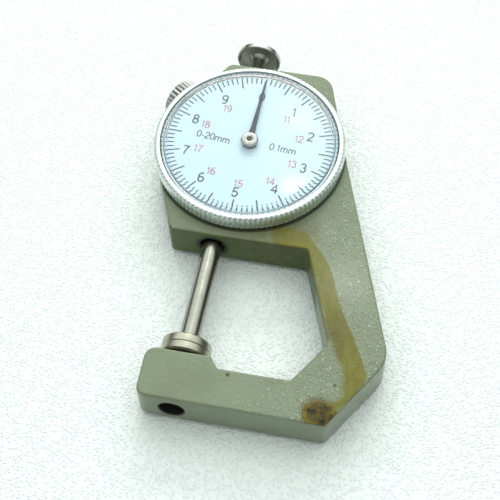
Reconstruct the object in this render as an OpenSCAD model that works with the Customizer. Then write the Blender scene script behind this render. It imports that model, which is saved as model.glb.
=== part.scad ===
// Dial thickness gauge: a flat C-frame with a rack spindle, a two-turn pointer and a
// rotating bezel. It lies on its back, with the dial facing +Z.
// Units are millimetres. The Z axis is the dial's axis, Z = 0 is the face of the back
// cover, on which the gauge rests, and +Y runs along the spindle towards the lift button.

/* [Frame] */
// Thickness of the C-frame casting
frame_t = 8.4; // [8.2:0.1:9]
// Radius of the round head of the casting, under the bezel
head_r = 19.6; // [19:0.1:19.8]
// Height of the casting's flat top edge above the dial axis
top_y = 22.95; // [22:0.05:24]
// Lower face of the upper arm, measured from the dial axis
arm_y = 21.85; // [21:0.05:23]
// Bottom end of the frame, measured from the dial axis
bottom_y = 58.8; // [57:0.1:60]

/* [Spindle] */
// Distance from the dial axis to the spindle axis
spindle_offset = 3.6; // [3.6:0.01:3.65]
// Radius of the spindle rod
spindle_r = 2; // [1.9:0.05:2]
// Height of the spindle axis above the rest plane
spindle_z = 4.95; // [4.9:0.05:5.1]
// Full measuring range, from closed to fully lifted
travel = 20; // [10:1:20]
// Radius of the contact disc, the anvil disc and the lift button
disc_r = 4.9; // [4:0.1:4.9]
// Contact plane, measured from the dial axis, with the gauge closed
contact_y = 46.45; // [46:0.05:47]

/* [Dial] */
// Outer radius of the bezel, over its ridges
bezel_r = 20; // [19.9:0.05:20.5]
// Number of ridges round the bezel
bezel_ridges = 120; // [80:10:200]
// Height of the bezel's lower edge above the rest plane
bezel_z = 9.6; // [9.6:0.05:9.8]
// Height of the bezel from its lower edge to its lip
bezel_h = 3.5; // [3.4:0.1:4]
// Height of the printed face of the dial above the rest plane
dial_z = 12; // [11.9:0.05:12.1]
// Radius of the dial plate
dial_r = 18.1; // [17.9:0.05:18.1]
// Length of the pointer from the dial axis to its tip
pointer_len = 16.4; // [14:0.1:17]
// Angle of the dial's zero mark and of the pointer, clockwise from +Y
zero_angle = 1.5; // [0:0.5:10]

/* [Movement] */
// Teeth of the centre pinion: one turn of the pointer for each 10 mm of travel
pinion_teeth = 16; // [16]
// Pitch of the rack teeth along the spindle
rack_pitch = 0.625; // [0.625]
// Teeth of the take-up wheel
wheel_teeth = 48; // [40:2:50]
// Turns of the hairspring
hairspring_turns = 5; // [3:1:6]

/* [Lock screw] */
// Direction of the bezel lock screw round the dial axis, anticlockwise from +X
lock_angle = 148; // [147:1:149]
// Sideways offset of the lock screw from the radial line
lock_offset = 2.6; // [2:0.1:4]
// Length of the knurled head
knob_h = 3.6; // [3:0.1:4]
// Radius of the lock screw's head, over its ridges
knob_r = 4.4; // [4:0.1:4.9]

/* [Hidden] */
$fn = 64;
eps = 0.01;

// Heights
cover_t = 1.0;
frame_z0 = cover_t;
frame_z1 = frame_z0 + frame_t;
sx = -spindle_offset;

// Pocket for the movement, with the ledge that carries the movement plate
pocket_r = 15;
ledge_r = 17.7;
plate_t = 1.2;
plate_z = frame_z1 - plate_t;
plate_r = 17.6;
register_r = 16.7;
register_z1 = 10.9;
plate_screw_r = 15.85;
plate_screw_angles = [45, 180, 290];

// Retaining wire between the plate's register and the bezel
wire_r = 0.3;
wire_z = 10.2;
wire_ring_r = 17.65;
groove_half = 0.37;
bezel_bore_r = 17.75;

// Crystal, a dome with a bevelled rim, pressed in over the dial plate
crystal_r = 18.4;

// Back cover
cover_r = 18.4;
cover_screw_ring = 16.7;
cover_screw_angles = [0, 125, 225];

// Spindle guide: bushes, pin and slotted rail
bush_r = 3.1;
// Bore in the arm's lower face, a step smaller than the bush above it
bore_r = 2.45;
bush_clear = 0.04;
bush_lip = 1.6;
pocket_face_y = sqrt(pow(pocket_r, 2) - pow(spindle_offset + bush_r, 2));
pin_r = 0.6;
pin_y = -10.3;
pin_end_x = -10.5;
rail_x0 = sx - 4.8;
rail_t = 1.6;
rail_y = 12.1;
slot_half = 0.66;
rail_screw_y = 11.2;

// Thin stem at the top of the spindle, which carries the lift button
stem_r = 1.2;
spindle_end = 23.2;
button_y = 28;

// Return spring, in the cored hole beside the spindle
spring_x = -9.8;
spring_r = 0.95;
spring_wire_r = 0.15;
spring_turns = 13;
spring_hole_r = 1.4;
spring_hole_end = 20.6;
post_y = -19.6;
post_r = 0.5;
hook_r = 0.82;

// Rack and pinion
pinion_pitch_r = rack_pitch * pinion_teeth / (2 * PI);
pinion_tip_r = 1.85;
pinion_root_r = 1.3;
pinion_z0 = 3.2;
pinion_z1 = 6.8;
rack_first_y = -21.0;
rack_spaces = 36;
rack_depth = 0.42;

// Take-up wheel, beside the centre pinion
wheel_pitch_r = rack_pitch * wheel_teeth / (2 * PI);
wheel_tip_r = wheel_pitch_r + 0.13;
wheel_root_r = wheel_pitch_r - 0.32;
wheel_distance = pinion_pitch_r + wheel_pitch_r + 0.08;
wheel_angle = -30;
wheel_pos = wheel_distance * [cos(wheel_angle), sin(wheel_angle)];
wheel_z0 = 5.6;
wheel_t = 0.7;

// Arbors and bridge
arbor_r = 0.6;
arbor_hole_r = 0.63;
bridge_z0 = 1.9;
bridge_t = 0.8;
pillars = [[2.5, 8.2], [10.2, 2.9], [1.7, -9.2]];
pillar_r = 1.4;

// Hairspring
hair_z0 = 7.1;
hair_h = 0.5;
hair_r0 = 1.2;
hair_r1 = 3.6;
hair_t = 0.1;
hair_end = 200;
stud_r = 0.45;

// Anvil
anvil_gap = 0.02;
anvil_t = 1.75;
contact_t = 1.85;
seat_y = 48.5;
neck_r = 2.4;
spigot_r = 1.9;
spigot_end = 52.6;
counterbore_r = 2.4;
counterbore_end = 55.4;
anvil_screw_r = 1.2;

// Outline of the frame: corner points and their radii, anticlockwise from bottom left
seal_pos = [23.9, -56.3];
seal_r = 2.1;
seal_depth = 2.5;
lock_dir = [cos(lock_angle), sin(lock_angle)];
flank_corner_x = (head_r - top_y * sin(lock_angle)) / cos(lock_angle);
arm_corner = [-12.2, -arm_y];
arm_foot = atan2(arm_corner[1], arm_corner[0]) + 360
    - acos(head_r / norm(arm_corner));
head_steps = 14;
lower_corners = [
    [-10.45, -bottom_y, 2], [25.6, -bottom_y, 1.2], [35.3, -43.3, 7],
    [20.6, 0.5, 20], [13.6, top_y, 4], [flank_corner_x, top_y, 1.8]
];
upper_corners = [
    [arm_corner[0], arm_corner[1], 0.8], [16.05, -arm_y, 0.8], [23.3, -42.0, 1.6],
    [17.7, -50.75, 0.8], [3.7, -50.8, 1.0], [1.9, -seat_y, 0.8], [-10.5, -seat_y, 2.2]
];
head_arc = [
    for (i = [0:head_steps])
        let (a = lock_angle + (arm_foot - lock_angle) * i / head_steps)
        head_r * [cos(a), sin(a)]
];

// Points of an arc of radius r that rounds the corner b between a and c
function corner_arc(a, b, c, r, n = 6) =
    let (
        u = (a - b) / norm(a - b),
        v = (c - b) / norm(c - b),
        half = acos(u * v) / 2,
        reach = r / tan(half),
        m = b + (u + v) / norm(u + v) * r / sin(half),
        s = b + u * reach - m,
        e = b + v * reach - m,
        turn = cross(s, e) > 0 ? 1 : -1,
        sweep = acos(max(-1, min(1, s * e / (r * r))))
    )
    [for (i = [0:n])
        let (t = turn * sweep * i / n)
        m + [s[0] * cos(t) - s[1] * sin(t), s[0] * sin(t) + s[1] * cos(t)]];

// Rounds the corners of an open run of points [x, y, r], between two plain points
function rounded_run(first, pts, last) =
    let (n = len(pts))
    [for (i = [0:n - 1])
        let (
            p = [pts[i][0], pts[i][1]],
            before = i == 0 ? first : [pts[i - 1][0], pts[i - 1][1]],
            after = i == n - 1 ? last : [pts[i + 1][0], pts[i + 1][1]]
        )
        each corner_arc(before, p, after, pts[i][2])];

function plain(p) = [p[0], p[1]];

// Turns a shape drawn along +Z so that it runs along +Y, and moves it to [x, y, z]
module along_y(x, y, z = spindle_z) {
    translate([x, y, z]) rotate([-90, 0, 0]) children();
}

module at_ring(r, angles, z) {
    for (a = angles) translate([r * cos(a), r * sin(a), z]) children();
}

module ring(r_out, r_in, h) {
    difference() {
        cylinder(r = r_out, h = h);
        translate([0, 0, -eps]) cylinder(r = r_in, h = h + 2 * eps);
    }
}

// Screw along +Z from below its head: head from 0 to head_h, shank above it
module pan_screw(head_r, head_h, shank_r, length) {
    difference() {
        union() {
            cylinder(r = head_r, h = head_h);
            translate([0, 0, head_h - eps]) cylinder(r = shank_r, h = length + eps);
        }
        translate([-head_r, -head_r * 0.13, -eps]) cube([2 * head_r, head_r * 0.26, head_h * 0.45]);
    }
}

// Carries a shape to the lock screw's line: +Z points outwards along the screw
module lock_frame(distance) {
    translate([
        distance * lock_dir[0] + lock_offset * lock_dir[1],
        distance * lock_dir[1] - lock_offset * lock_dir[0],
        spindle_z
    ])
        rotate([0, 90, lock_angle]) children();
}

// Spur wheel outline with tapered teeth: one tooth points along start
module toothed(teeth, root_r, pitch_r, tip_r, start, thick) {
    half = 180 / teeth;
    polygon([
        for (i = [0:teeth - 1])
            let (a = start + i * 2 * half)
            each [
                root_r * [cos(a - half * thick * 1.55), sin(a - half * thick * 1.55)],
                pitch_r * [cos(a - half * thick), sin(a - half * thick)],
                tip_r * [cos(a - half * thick * 0.42), sin(a - half * thick * 0.42)],
                tip_r * [cos(a + half * thick * 0.42), sin(a + half * thick * 0.42)],
                pitch_r * [cos(a + half * thick), sin(a + half * thick)],
                root_r * [cos(a + half * thick * 1.55), sin(a + half * thick * 1.55)]
            ]
    ]);
}

// ---------------------------------------------------------------- fixed frame

module frame_outline() {
    polygon(concat(
        rounded_run(plain(upper_corners[6]), lower_corners, head_arc[0]),
        head_arc,
        rounded_run(head_arc[head_steps], upper_corners, plain(lower_corners[0]))
    ));
}

module frame_casting() {
    color([0.53, 0.60, 0.50])
    difference() {
        translate([0, 0, frame_z0]) linear_extrude(frame_t) frame_outline();
        // movement pocket and the ledge for the movement plate
        translate([0, 0, frame_z0 - 1]) cylinder(r = pocket_r, h = frame_t + 2, $fn = 128);
        translate([0, 0, plate_z]) cylinder(r = ledge_r, h = plate_t + 1, $fn = 128);
        // spindle bore, through both walls of the pocket
        along_y(sx, bush_lip - arm_y) cylinder(r = bush_r, h = arm_y + top_y);
        along_y(sx, -arm_y - 1) cylinder(r = bore_r, h = bush_lip + 2);
        along_y(sx, -arm_y - eps) cylinder(r1 = bore_r + 0.25, r2 = bore_r, h = 0.25);
        // cored hole for the return spring and the hole of its post
        along_y(spring_x, -spring_hole_end) cylinder(r = spring_hole_r, h = 11.6);
        translate([spring_x, post_y, frame_z0 - 1]) cylinder(r = post_r + eps, h = 7.6, $fn = 32);
        // lock screw hole
        lock_frame(pocket_r - 1) cylinder(r = 1.55, h = 7);
        // anvil spigot, clearance hole and counterbore
        along_y(sx, -spigot_end) cylinder(r = spigot_r + eps, h = 6);
        along_y(sx, -counterbore_end - eps) cylinder(r = 1.6, h = 4);
        along_y(sx, -bottom_y - 1) cylinder(r = counterbore_r, h = bottom_y + 1 - counterbore_end);
        // resin-filled recess at the corner
        translate([seal_pos[0], seal_pos[1], frame_z1 - seal_depth]) cylinder(r = seal_r, h = 4);
        // tapped holes
        at_ring(plate_screw_r, plate_screw_angles, plate_z - 2.6) cylinder(r = 0.65, h = 4, $fn = 32);
        at_ring(cover_screw_ring, cover_screw_angles, frame_z0 - 1) cylinder(r = 0.85, h = 3.2, $fn = 32);
    }
}

module back_cover() {
    color([0.62, 0.63, 0.62])
    difference() {
        union() {
            cylinder(r = cover_r, h = cover_t, $fn = 128);
            translate([0, 0, cover_t - eps]) ring(pocket_r - 0.1, pocket_r - 1, 0.3 + eps);
        }
        at_ring(cover_screw_ring, cover_screw_angles, -eps) {
            cylinder(r1 = 1.45, r2 = 0.9, h = 0.6, $fn = 32);
            cylinder(r = 0.9, h = 2, $fn = 32);
        }
    }
}

module back_cover_screws() {
    color([0.72, 0.72, 0.70])
    at_ring(cover_screw_ring, cover_screw_angles, 0.03)
        difference() {
            union() {
                cylinder(r1 = 1.38, r2 = 0.8, h = 0.57, $fn = 32);
                cylinder(r = 0.8, h = 2.9, $fn = 32);
            }
            translate([-1.5, -0.16, -eps]) cube([3, 0.32, 0.3]);
        }
}

module corner_seal() {
    color([0.35, 0.24, 0.10])
    translate([seal_pos[0], seal_pos[1], frame_z1 - seal_depth + eps]) {
        cylinder(r = seal_r - 0.02, h = seal_depth - 0.35);
        translate([0, 0, seal_depth - 0.35 - eps])
            cylinder(r1 = seal_r - 0.02, r2 = seal_r - 1, h = 0.4);
    }
}

module bush(length) {
    ring(bush_r - eps, spindle_r + bush_clear, length);
}

module lower_bush() {
    color([0.72, 0.60, 0.32])
    along_y(sx, -arm_y + bush_lip) bush(arm_y - bush_lip - pocket_face_y);
}

module upper_bush() {
    color([0.72, 0.60, 0.32])
    along_y(sx, pocket_face_y) bush(top_y - pocket_face_y + 0.4);
}

module anvil() {
    color([0.78, 0.78, 0.76])
    difference() {
        union() {
            along_y(sx, -contact_y - anvil_t)
                rotate_extrude($fn = 96)
                    polygon([
                        [0, 0], [disc_r - 0.3, 0], [disc_r, 0.3],
                        [disc_r, anvil_t - 0.15], [disc_r - 0.15, anvil_t], [0, anvil_t]
                    ]);
            along_y(sx, -seat_y) cylinder(r = neck_r, h = seat_y - contact_y - anvil_t + eps);
            along_y(sx, -spigot_end + 0.1) cylinder(r = spigot_r, h = spigot_end - seat_y);
        }
        along_y(sx, -spigot_end - 1) cylinder(r = anvil_screw_r + 0.05, h = 4);
    }
}

module anvil_screw() {
    color([0.10, 0.10, 0.11])
    along_y(sx, -counterbore_end - 1.7)
        difference() {
            union() {
                cylinder(r = counterbore_r - 0.15, h = 1.68);
                cylinder(r = anvil_screw_r, h = counterbore_end - spigot_end + 4.2);
            }
            translate([0, 0, -eps]) cylinder(r = 1.0, h = 1.0, $fn = 6);
        }
}

// ---------------------------------------------------------------- movement

module movement_plate() {
    color([0.78, 0.66, 0.36])
    difference() {
        translate([0, 0, plate_z])
            rotate_extrude($fn = 128)
                polygon([
                    [0, 0], [plate_r, 0],
                    [plate_r, wire_z - groove_half - plate_z],
                    [wire_ring_r - groove_half, wire_z - groove_half - plate_z],
                    [wire_ring_r - groove_half, wire_z + groove_half - plate_z],
                    [plate_r, wire_z + groove_half - plate_z],
                    [plate_r, register_z1 - plate_z],
                    [register_r, register_z1 - plate_z],
                    [register_r, plate_t], [0, plate_t]
                ]);
        translate([0, 0, plate_z - 1]) cylinder(r = arbor_hole_r, h = plate_t + 2, $fn = 48);
        translate([wheel_pos[0], wheel_pos[1], plate_z - 1])
            cylinder(r = arbor_hole_r, h = plate_t + 2, $fn = 48);
        for (p = pillars) translate([p[0], p[1], plate_z - 1]) cylinder(r = 1, h = plate_t + 2);
        at_ring(plate_screw_r, plate_screw_angles, plate_z - 1) cylinder(r = 0.65, h = 4, $fn = 32);
        for (s = [-1, 1]) translate([rail_x0 + rail_t / 2, s * rail_screw_y, plate_z - 1])
            cylinder(r = 0.55, h = plate_t + 2, $fn = 32);
        stud_place() cylinder(r = stud_r + eps, h = 4, $fn = 32);
    }
}

module movement_plate_screws() {
    color([0.55, 0.60, 0.68])
    at_ring(plate_screw_r, plate_screw_angles, frame_z1 + 0.6 + eps)
        mirror([0, 0, 1]) pan_screw(0.8, 0.6, 0.6, 3.2, $fn = 32);
}

module lower_bridge() {
    color([0.78, 0.66, 0.36])
    translate([0, 0, bridge_z0])
        difference() {
            linear_extrude(bridge_t)
                polygon(concat(
                    corner_arc(pillar_pt(0) + [-1.7, -5], pillar_pt(0) + [-1.7, 2.4], pillar_pt(0) + [5, 2.4], 1.6),
                    corner_arc(pillar_pt(0) + [2.4, 2.4], pillar_pt(1) + [2.6, 1.4], pillar_pt(1) + [2.4, -5], 2),
                    corner_arc(pillar_pt(1) + [2.4, -2], pillar_pt(2) + [5, -2.4], pillar_pt(2) + [-1.6, -2.4], 2),
                    corner_arc(pillar_pt(2) + [5, -2.4], pillar_pt(2) + [-1.6, -2.4], pillar_pt(2) + [-1.6, 5], 1.6)
                ));
            translate([0, 0, -1]) cylinder(r = arbor_hole_r, h = 3, $fn = 48);
            translate([wheel_pos[0], wheel_pos[1], -1]) cylinder(r = arbor_hole_r, h = 3, $fn = 48);
            for (p = pillars) translate([p[0], p[1], -1]) cylinder(r = 0.7, h = 3, $fn = 32);
        }
}

function pillar_pt(i) = pillars[i];

module bridge_pillars() {
    color([0.70, 0.70, 0.68])
    for (p = pillars)
        translate([p[0], p[1], bridge_z0 + bridge_t])
            difference() {
                union() {
                    cylinder(r = pillar_r, h = plate_z - bridge_z0 - bridge_t);
                    cylinder(r = 0.98, h = frame_z1 - bridge_z0 - bridge_t - 0.1);
                }
                translate([0, 0, -1]) cylinder(r = 0.65, h = 4, $fn = 32);
            }
}

module bridge_screws() {
    color([0.55, 0.60, 0.68])
    for (p = pillars)
        translate([p[0], p[1], bridge_z0 - 0.6 - eps]) pan_screw(1.1, 0.6, 0.6, 3.2, $fn = 32);
}

module guide_rail() {
    color([0.70, 0.70, 0.68])
    difference() {
        translate([rail_x0, -rail_y, 2.9]) cube([rail_t, 2 * rail_y, plate_z - 2.9]);
        translate([rail_x0 - 1, pin_y - pin_r - 0.1, spindle_z - slot_half])
            cube([rail_t + 2, travel + 2 * pin_r + 0.2, 2 * slot_half]);
        for (s = [-1, 1])
            translate([rail_x0 + rail_t / 2, s * rail_screw_y, plate_z - 2.2])
                cylinder(r = 0.42, h = 3, $fn = 32);
    }
}

module guide_rail_screws() {
    color([0.55, 0.60, 0.68])
    for (s = [-1, 1])
        translate([rail_x0 + rail_t / 2, s * rail_screw_y, frame_z1 + 0.5 + eps])
            mirror([0, 0, 1]) pan_screw(0.85, 0.5, 0.4, 3, $fn = 32);
}

module spring_post() {
    color([0.70, 0.70, 0.68])
    translate([spring_x, post_y, frame_z0 + 0.05]) cylinder(r = post_r, h = 6.4, $fn = 32);
}

module stud_place() {
    translate([
        wheel_pos[0] + (hair_r1 + stud_r) * cos(hair_end),
        wheel_pos[1] + (hair_r1 + stud_r) * sin(hair_end),
        hair_z0 - 0.15
    ])
        children();
}

module hairspring_stud() {
    color([0.70, 0.70, 0.68])
    stud_place() cylinder(r = stud_r, h = frame_z1 - hair_z0 + 0.1, $fn = 32);
}

module bezel_retaining_wire() {
    color([0.65, 0.66, 0.68])
    translate([0, 0, wire_z])
        rotate([0, 0, 8])
            rotate_extrude(angle = 344, $fn = 96)
                translate([wire_ring_r, 0]) circle(r = wire_r, $fn = 24);
}

// ---------------------------------------------------------------- spindle group

module rack_space() {
    polygon([
        [spindle_r + 0.2, -0.25], [spindle_r + 0.2, 0.25],
        [spindle_r - rack_depth, 0.11], [spindle_r - rack_depth, -0.11]
    ]);
}

module spindle() {
    color([0.80, 0.80, 0.78])
    difference() {
        union() {
            along_y(sx, -contact_y + contact_t)
                cylinder(r = spindle_r, h = contact_y - contact_t + spindle_end);
            along_y(sx, spindle_end - eps) cylinder(r = stem_r, h = button_y + 1 - spindle_end, $fn = 48);
            along_y(sx, -contact_y + contact_t - 1.1) cylinder(r = 1.2, h = 2, $fn = 48);
        }
        for (i = [0:rack_spaces - 1])
            translate([sx, rack_first_y + i * rack_pitch, spindle_z - 2.2])
                linear_extrude(4.4) rack_space();
        translate([sx - 3, pin_y, spindle_z]) rotate([0, 90, 0]) cylinder(r = pin_r + eps, h = 1.8);
    }
}

module contact_disc() {
    color([0.80, 0.80, 0.78])
    difference() {
        along_y(sx, -contact_y + anvil_gap)
            rotate_extrude($fn = 96)
                polygon([
                    [0, 0], [disc_r - 0.15, 0], [disc_r, 0.15],
                    [disc_r, contact_t - anvil_gap - 0.35],
                    [disc_r - 0.35, contact_t - anvil_gap],
                    [0, contact_t - anvil_gap]
                ]);
        along_y(sx, -contact_y + contact_t - 1.15) cylinder(r = 1.21, h = 2, $fn = 48);
    }
}

module lift_button() {
    color([0.80, 0.80, 0.79])
    along_y(sx, button_y)
        rotate_extrude($fn = 96)
            polygon([
                [stem_r + eps, 0], [1.7, 0], [1.85, 0.15], [2.3, 0.75], [4.15, 0.75],
                [4.5, 0.25], [4.75, 0.15], [disc_r, 0.3], [disc_r, 1.35], [disc_r - 0.1, 1.6],
                [disc_r - 0.35, 1.72], [0, 1.8], [0, 1.02], [stem_r + eps, 1.02]
            ]);
}

module guide_pin() {
    color([0.70, 0.70, 0.68])
    translate([pin_end_x, pin_y, spindle_z])
        rotate([0, 90, 0]) cylinder(r = pin_r, h = sx - 1.25 - pin_end_x, $fn = 48);
}

// One wire: a hook round the post, the coil, and a hook round the guide pin
coil_y0 = post_y + hook_r + 0.3;
coil_y1 = pin_y - hook_r - 0.3;
spring_path = concat(
    [for (a = [-210:20:70]) [hook_r * cos(a), post_y + hook_r * sin(a), 0]],
    [for (i = [0:8 * spring_turns])
        let (t = i / (8 * spring_turns), a = 360 * spring_turns * t)
        [spring_r * cos(a), coil_y0 + (coil_y1 - coil_y0) * t, spring_r * sin(a)]],
    [for (a = [-70:20:210]) [0, pin_y + hook_r * sin(a), hook_r * cos(a)]]
);

function unit(v) = v / norm(v);

function path_dir(path, i) =
    unit(path[min(i + 1, len(path) - 1)] - path[max(i - 1, 0)]);

// Keeps u square to the direction w
function squared(u, w) = unit(u - (u * w) * w);

module swept_wire(path, r, sides = 5) {
    n = len(path);
    points = [
        for (i = 0, u = [0, 0, 1]; i < n; u = squared(u, path_dir(path, min(i + 1, n - 1))), i = i + 1)
            let (v = cross(path_dir(path, i), u))
            for (k = [0:sides - 1])
                path[i] + r * (u * cos(360 * k / sides) + v * sin(360 * k / sides))
    ];
    faces = concat(
        [[for (k = [0:sides - 1]) k]],
        [for (i = [0:n - 2], k = [0:sides - 1])
            let (a = i * sides + k, b = i * sides + (k + 1) % sides)
            each [[a, a + sides, b + sides], [a, b + sides, b]]],
        [[for (k = [sides - 1:-1:0]) (n - 1) * sides + k]]
    );
    polyhedron(points, faces, convexity = 8);
}

module return_spring() {
    color([0.62, 0.63, 0.66])
    translate([spring_x, 0, spindle_z]) swept_wire(spring_path, spring_wire_r);
}

// ---------------------------------------------------------------- pointer group

module center_arbor() {
    color([0.68, 0.69, 0.70])
    union() {
        translate([0, 0, bridge_z0 + 0.05]) cylinder(r = arbor_r, h = 13.3 - bridge_z0, $fn = 48);
        translate([0, 0, pinion_z0]) linear_extrude(pinion_z1 - pinion_z0)
            toothed(pinion_teeth, pinion_root_r, pinion_pitch_r, pinion_tip_r, pinion_start, 0.40);
    }
}

// One pinion tooth points at the middle of the rack space beside the dial axis
rack_phase = (0 - rack_first_y) / rack_pitch - floor((0 - rack_first_y) / rack_pitch);
pinion_start = 180 + rack_phase * 360 / pinion_teeth;

module pointer() {
    color([0.07, 0.10, 0.14])
    rotate([0, 0, -zero_angle])
        translate([0, 0, 12.5])
            linear_extrude(0.25)
                difference() {
                    union() {
                        circle(r = 1.5);
                        polygon([
                            [-1.15, 0.8], [1.15, 0.8], [0.62, 2.6], [0.48, 4],
                            [0.18, pointer_len - 0.3], [0, pointer_len],
                            [-0.18, pointer_len - 0.3], [-0.48, 4], [-0.62, 2.6]
                        ]);
                    }
                    circle(r = 0.92, $fn = 48);
                }
}

module pointer_hub() {
    color([0.75, 0.76, 0.74])
    translate([0, 0, 12.2])
        rotate_extrude($fn = 64)
            polygon([
                [arbor_r + eps, 0], [0.9, 0], [0.9, 0.56], [1.62, 0.56], [1.8, 0.72],
                [1.72, 1.12], [1.5, 1.26], [arbor_r + eps, 1.26]
            ]);
}

// ---------------------------------------------------------------- take-up group

module takeup_arbor() {
    color([0.68, 0.69, 0.70])
    translate([wheel_pos[0], wheel_pos[1], bridge_z0 + 0.05])
        cylinder(r = arbor_r, h = frame_z1 - bridge_z0 - 0.1, $fn = 48);
}

module takeup_wheel() {
    // a tooth space faces the pinion tooth that is nearest to the line of centres
    pinion_lead = (wheel_angle - pinion_start) / (360 / pinion_teeth);
    lead = pinion_lead - floor(pinion_lead);
    start = wheel_angle + 180 + (0.5 + lead) * 360 / wheel_teeth;
    color([0.80, 0.68, 0.36])
    translate([wheel_pos[0], wheel_pos[1], wheel_z0])
        difference() {
            linear_extrude(wheel_t)
                difference() {
                    toothed(wheel_teeth, wheel_root_r, wheel_pitch_r, wheel_tip_r, start, 0.40);
                    for (a = [0:90:270]) rotate(a + 45) translate([2.9, 0]) circle(r = 1.1, $fn = 32);
                }
            translate([0, 0, -1]) cylinder(r = arbor_r + eps, h = 3, $fn = 48);
        }
}

module hairspring_collet() {
    color([0.80, 0.68, 0.36])
    translate([wheel_pos[0], wheel_pos[1], hair_z0 - 0.1])
        ring(1.1, arbor_r + eps, hair_h + 0.2, $fn = 48);
}

module hairspring() {
    steps = 24 * hairspring_turns;
    function hair_r(t) = hair_r0 + (hair_r1 - hair_r0) * t;
    function hair_a(t) = hair_end - 360 * hairspring_turns * (1 - t);
    color([0.30, 0.36, 0.50])
    translate([wheel_pos[0], wheel_pos[1], hair_z0])
        linear_extrude(hair_h)
            polygon(concat(
                [for (i = [0:steps]) let (t = i / steps)
                    hair_r(t) * [cos(hair_a(t)), sin(hair_a(t))]],
                [for (i = [steps:-1:0]) let (t = i / steps)
                    (hair_r(t) - hair_t) * [cos(hair_a(t)), sin(hair_a(t))]]
            ));
}

// ---------------------------------------------------------------- bezel group

module bezel() {
    lip_z = bezel_z + bezel_h;
    color([0.82, 0.83, 0.82])
    difference() {
        union() {
            translate([0, 0, bezel_z + 0.4]) linear_extrude(bezel_h - 1)
                polygon([
                    for (i = [0:2 * bezel_ridges - 1])
                        let (a = 180 * i / bezel_ridges, r = i % 2 == 0 ? bezel_r : bezel_r - 0.28)
                        r * [cos(a), sin(a)]
                ]);
            translate([0, 0, bezel_z])
                rotate_extrude($fn = 128)
                    polygon([
                        [17, 0], [bezel_r - 0.8, 0], [bezel_r - 0.8, 0.35], [bezel_r - 0.3, 0.45],
                        [bezel_r - 0.3, bezel_h - 0.5], [bezel_r - 0.38, bezel_h - 0.15],
                        [bezel_r - 0.6, bezel_h], [17, bezel_h]
                    ]);
        }
        // bore over the register, with the groove for the retaining wire
        translate([0, 0, bezel_z - 1])
            rotate_extrude($fn = 128)
                polygon([
                    [0, 0], [bezel_bore_r, 0],
                    [bezel_bore_r, wire_z - groove_half - bezel_z + 1],
                    [wire_ring_r + groove_half, wire_z - groove_half - bezel_z + 1],
                    [wire_ring_r + groove_half, wire_z + groove_half - bezel_z + 1],
                    [bezel_bore_r, wire_z + groove_half - bezel_z + 1],
                    [bezel_bore_r, dial_z - 0.4 - bezel_z + 1],
                    [dial_r + 0.02, dial_z - 0.4 - bezel_z + 1],
                    [dial_r + 0.02, dial_z + 0.02 - bezel_z + 1],
                    [crystal_r + 0.02, dial_z + 0.02 - bezel_z + 1],
                    [crystal_r + 0.02, lip_z - 0.6 - bezel_z + 1],
                    [crystal_r + 0.28, lip_z - 0.6 - bezel_z + 1],
                    [crystal_r + 0.28, lip_z - bezel_z + 2], [0, lip_z - bezel_z + 2]
                ]);
    }
}

module dial_plate() {
    color([0.84, 0.93, 0.96])
    translate([0, 0, dial_z - 0.4])
        difference() {
            cylinder(r = dial_r, h = 0.4, $fn = 128);
            translate([0, 0, -1]) cylinder(r = 1.6, h = 2);
        }
}

module crystal() {
    color([0.90, 0.96, 0.98, 0.35])
    translate([0, 0, dial_z + 0.05])
        rotate_extrude($fn = 128)
            polygon([
                [crystal_r - 0.8, 0], [crystal_r, 0], [crystal_r, 1.0], [crystal_r - 1.1, 1.95],
                [14, 2.22], [10, 2.42], [5, 2.55], [0, 2.6], [0, 1.85], [5, 1.8], [10, 1.67],
                [14, 1.47], [crystal_r - 1.4, 1.22], [crystal_r - 0.8, 0.75]
            ]);
}

module bezel_lock_screw() {
    ridges = 26;
    color([0.66, 0.68, 0.62])
    lock_frame(bezel_r + 0.7)
        difference() {
            union() {
                linear_extrude(knob_h - 0.3)
                    polygon([
                        for (i = [0:2 * ridges - 1])
                            let (a = 180 * i / ridges, r = i % 2 == 0 ? knob_r : knob_r - 0.35)
                            r * [cos(a), sin(a)]
                    ]);
                cylinder(r = knob_r - 0.3, h = knob_h);
                translate([0, 0, -5.3]) cylinder(r = 1.5, h = 5.4);
            }
            translate([-0.5, -knob_r, knob_h - 0.7]) cube([1, 2 * knob_r, 1]);
        }
}

frame_casting();
back_cover();
back_cover_screws();
corner_seal();
lower_bush();
upper_bush();
anvil();
anvil_screw();
movement_plate();
movement_plate_screws();
lower_bridge();
bridge_pillars();
bridge_screws();
guide_rail();
guide_rail_screws();
spring_post();
hairspring_stud();
bezel_retaining_wire();
spindle();
contact_disc();
lift_button();
guide_pin();
return_spring();
center_arbor();
pointer();
pointer_hub();
takeup_arbor();
takeup_wheel();
hairspring_collet();
hairspring();
bezel();
dial_plate();
crystal();
bezel_lock_screw();
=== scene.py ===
from math import acos, atan2, cos, degrees, dist, exp, hypot, pi, radians, sin, tan

import bmesh
import bpy
from mathutils import Matrix, Vector, noise


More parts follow.
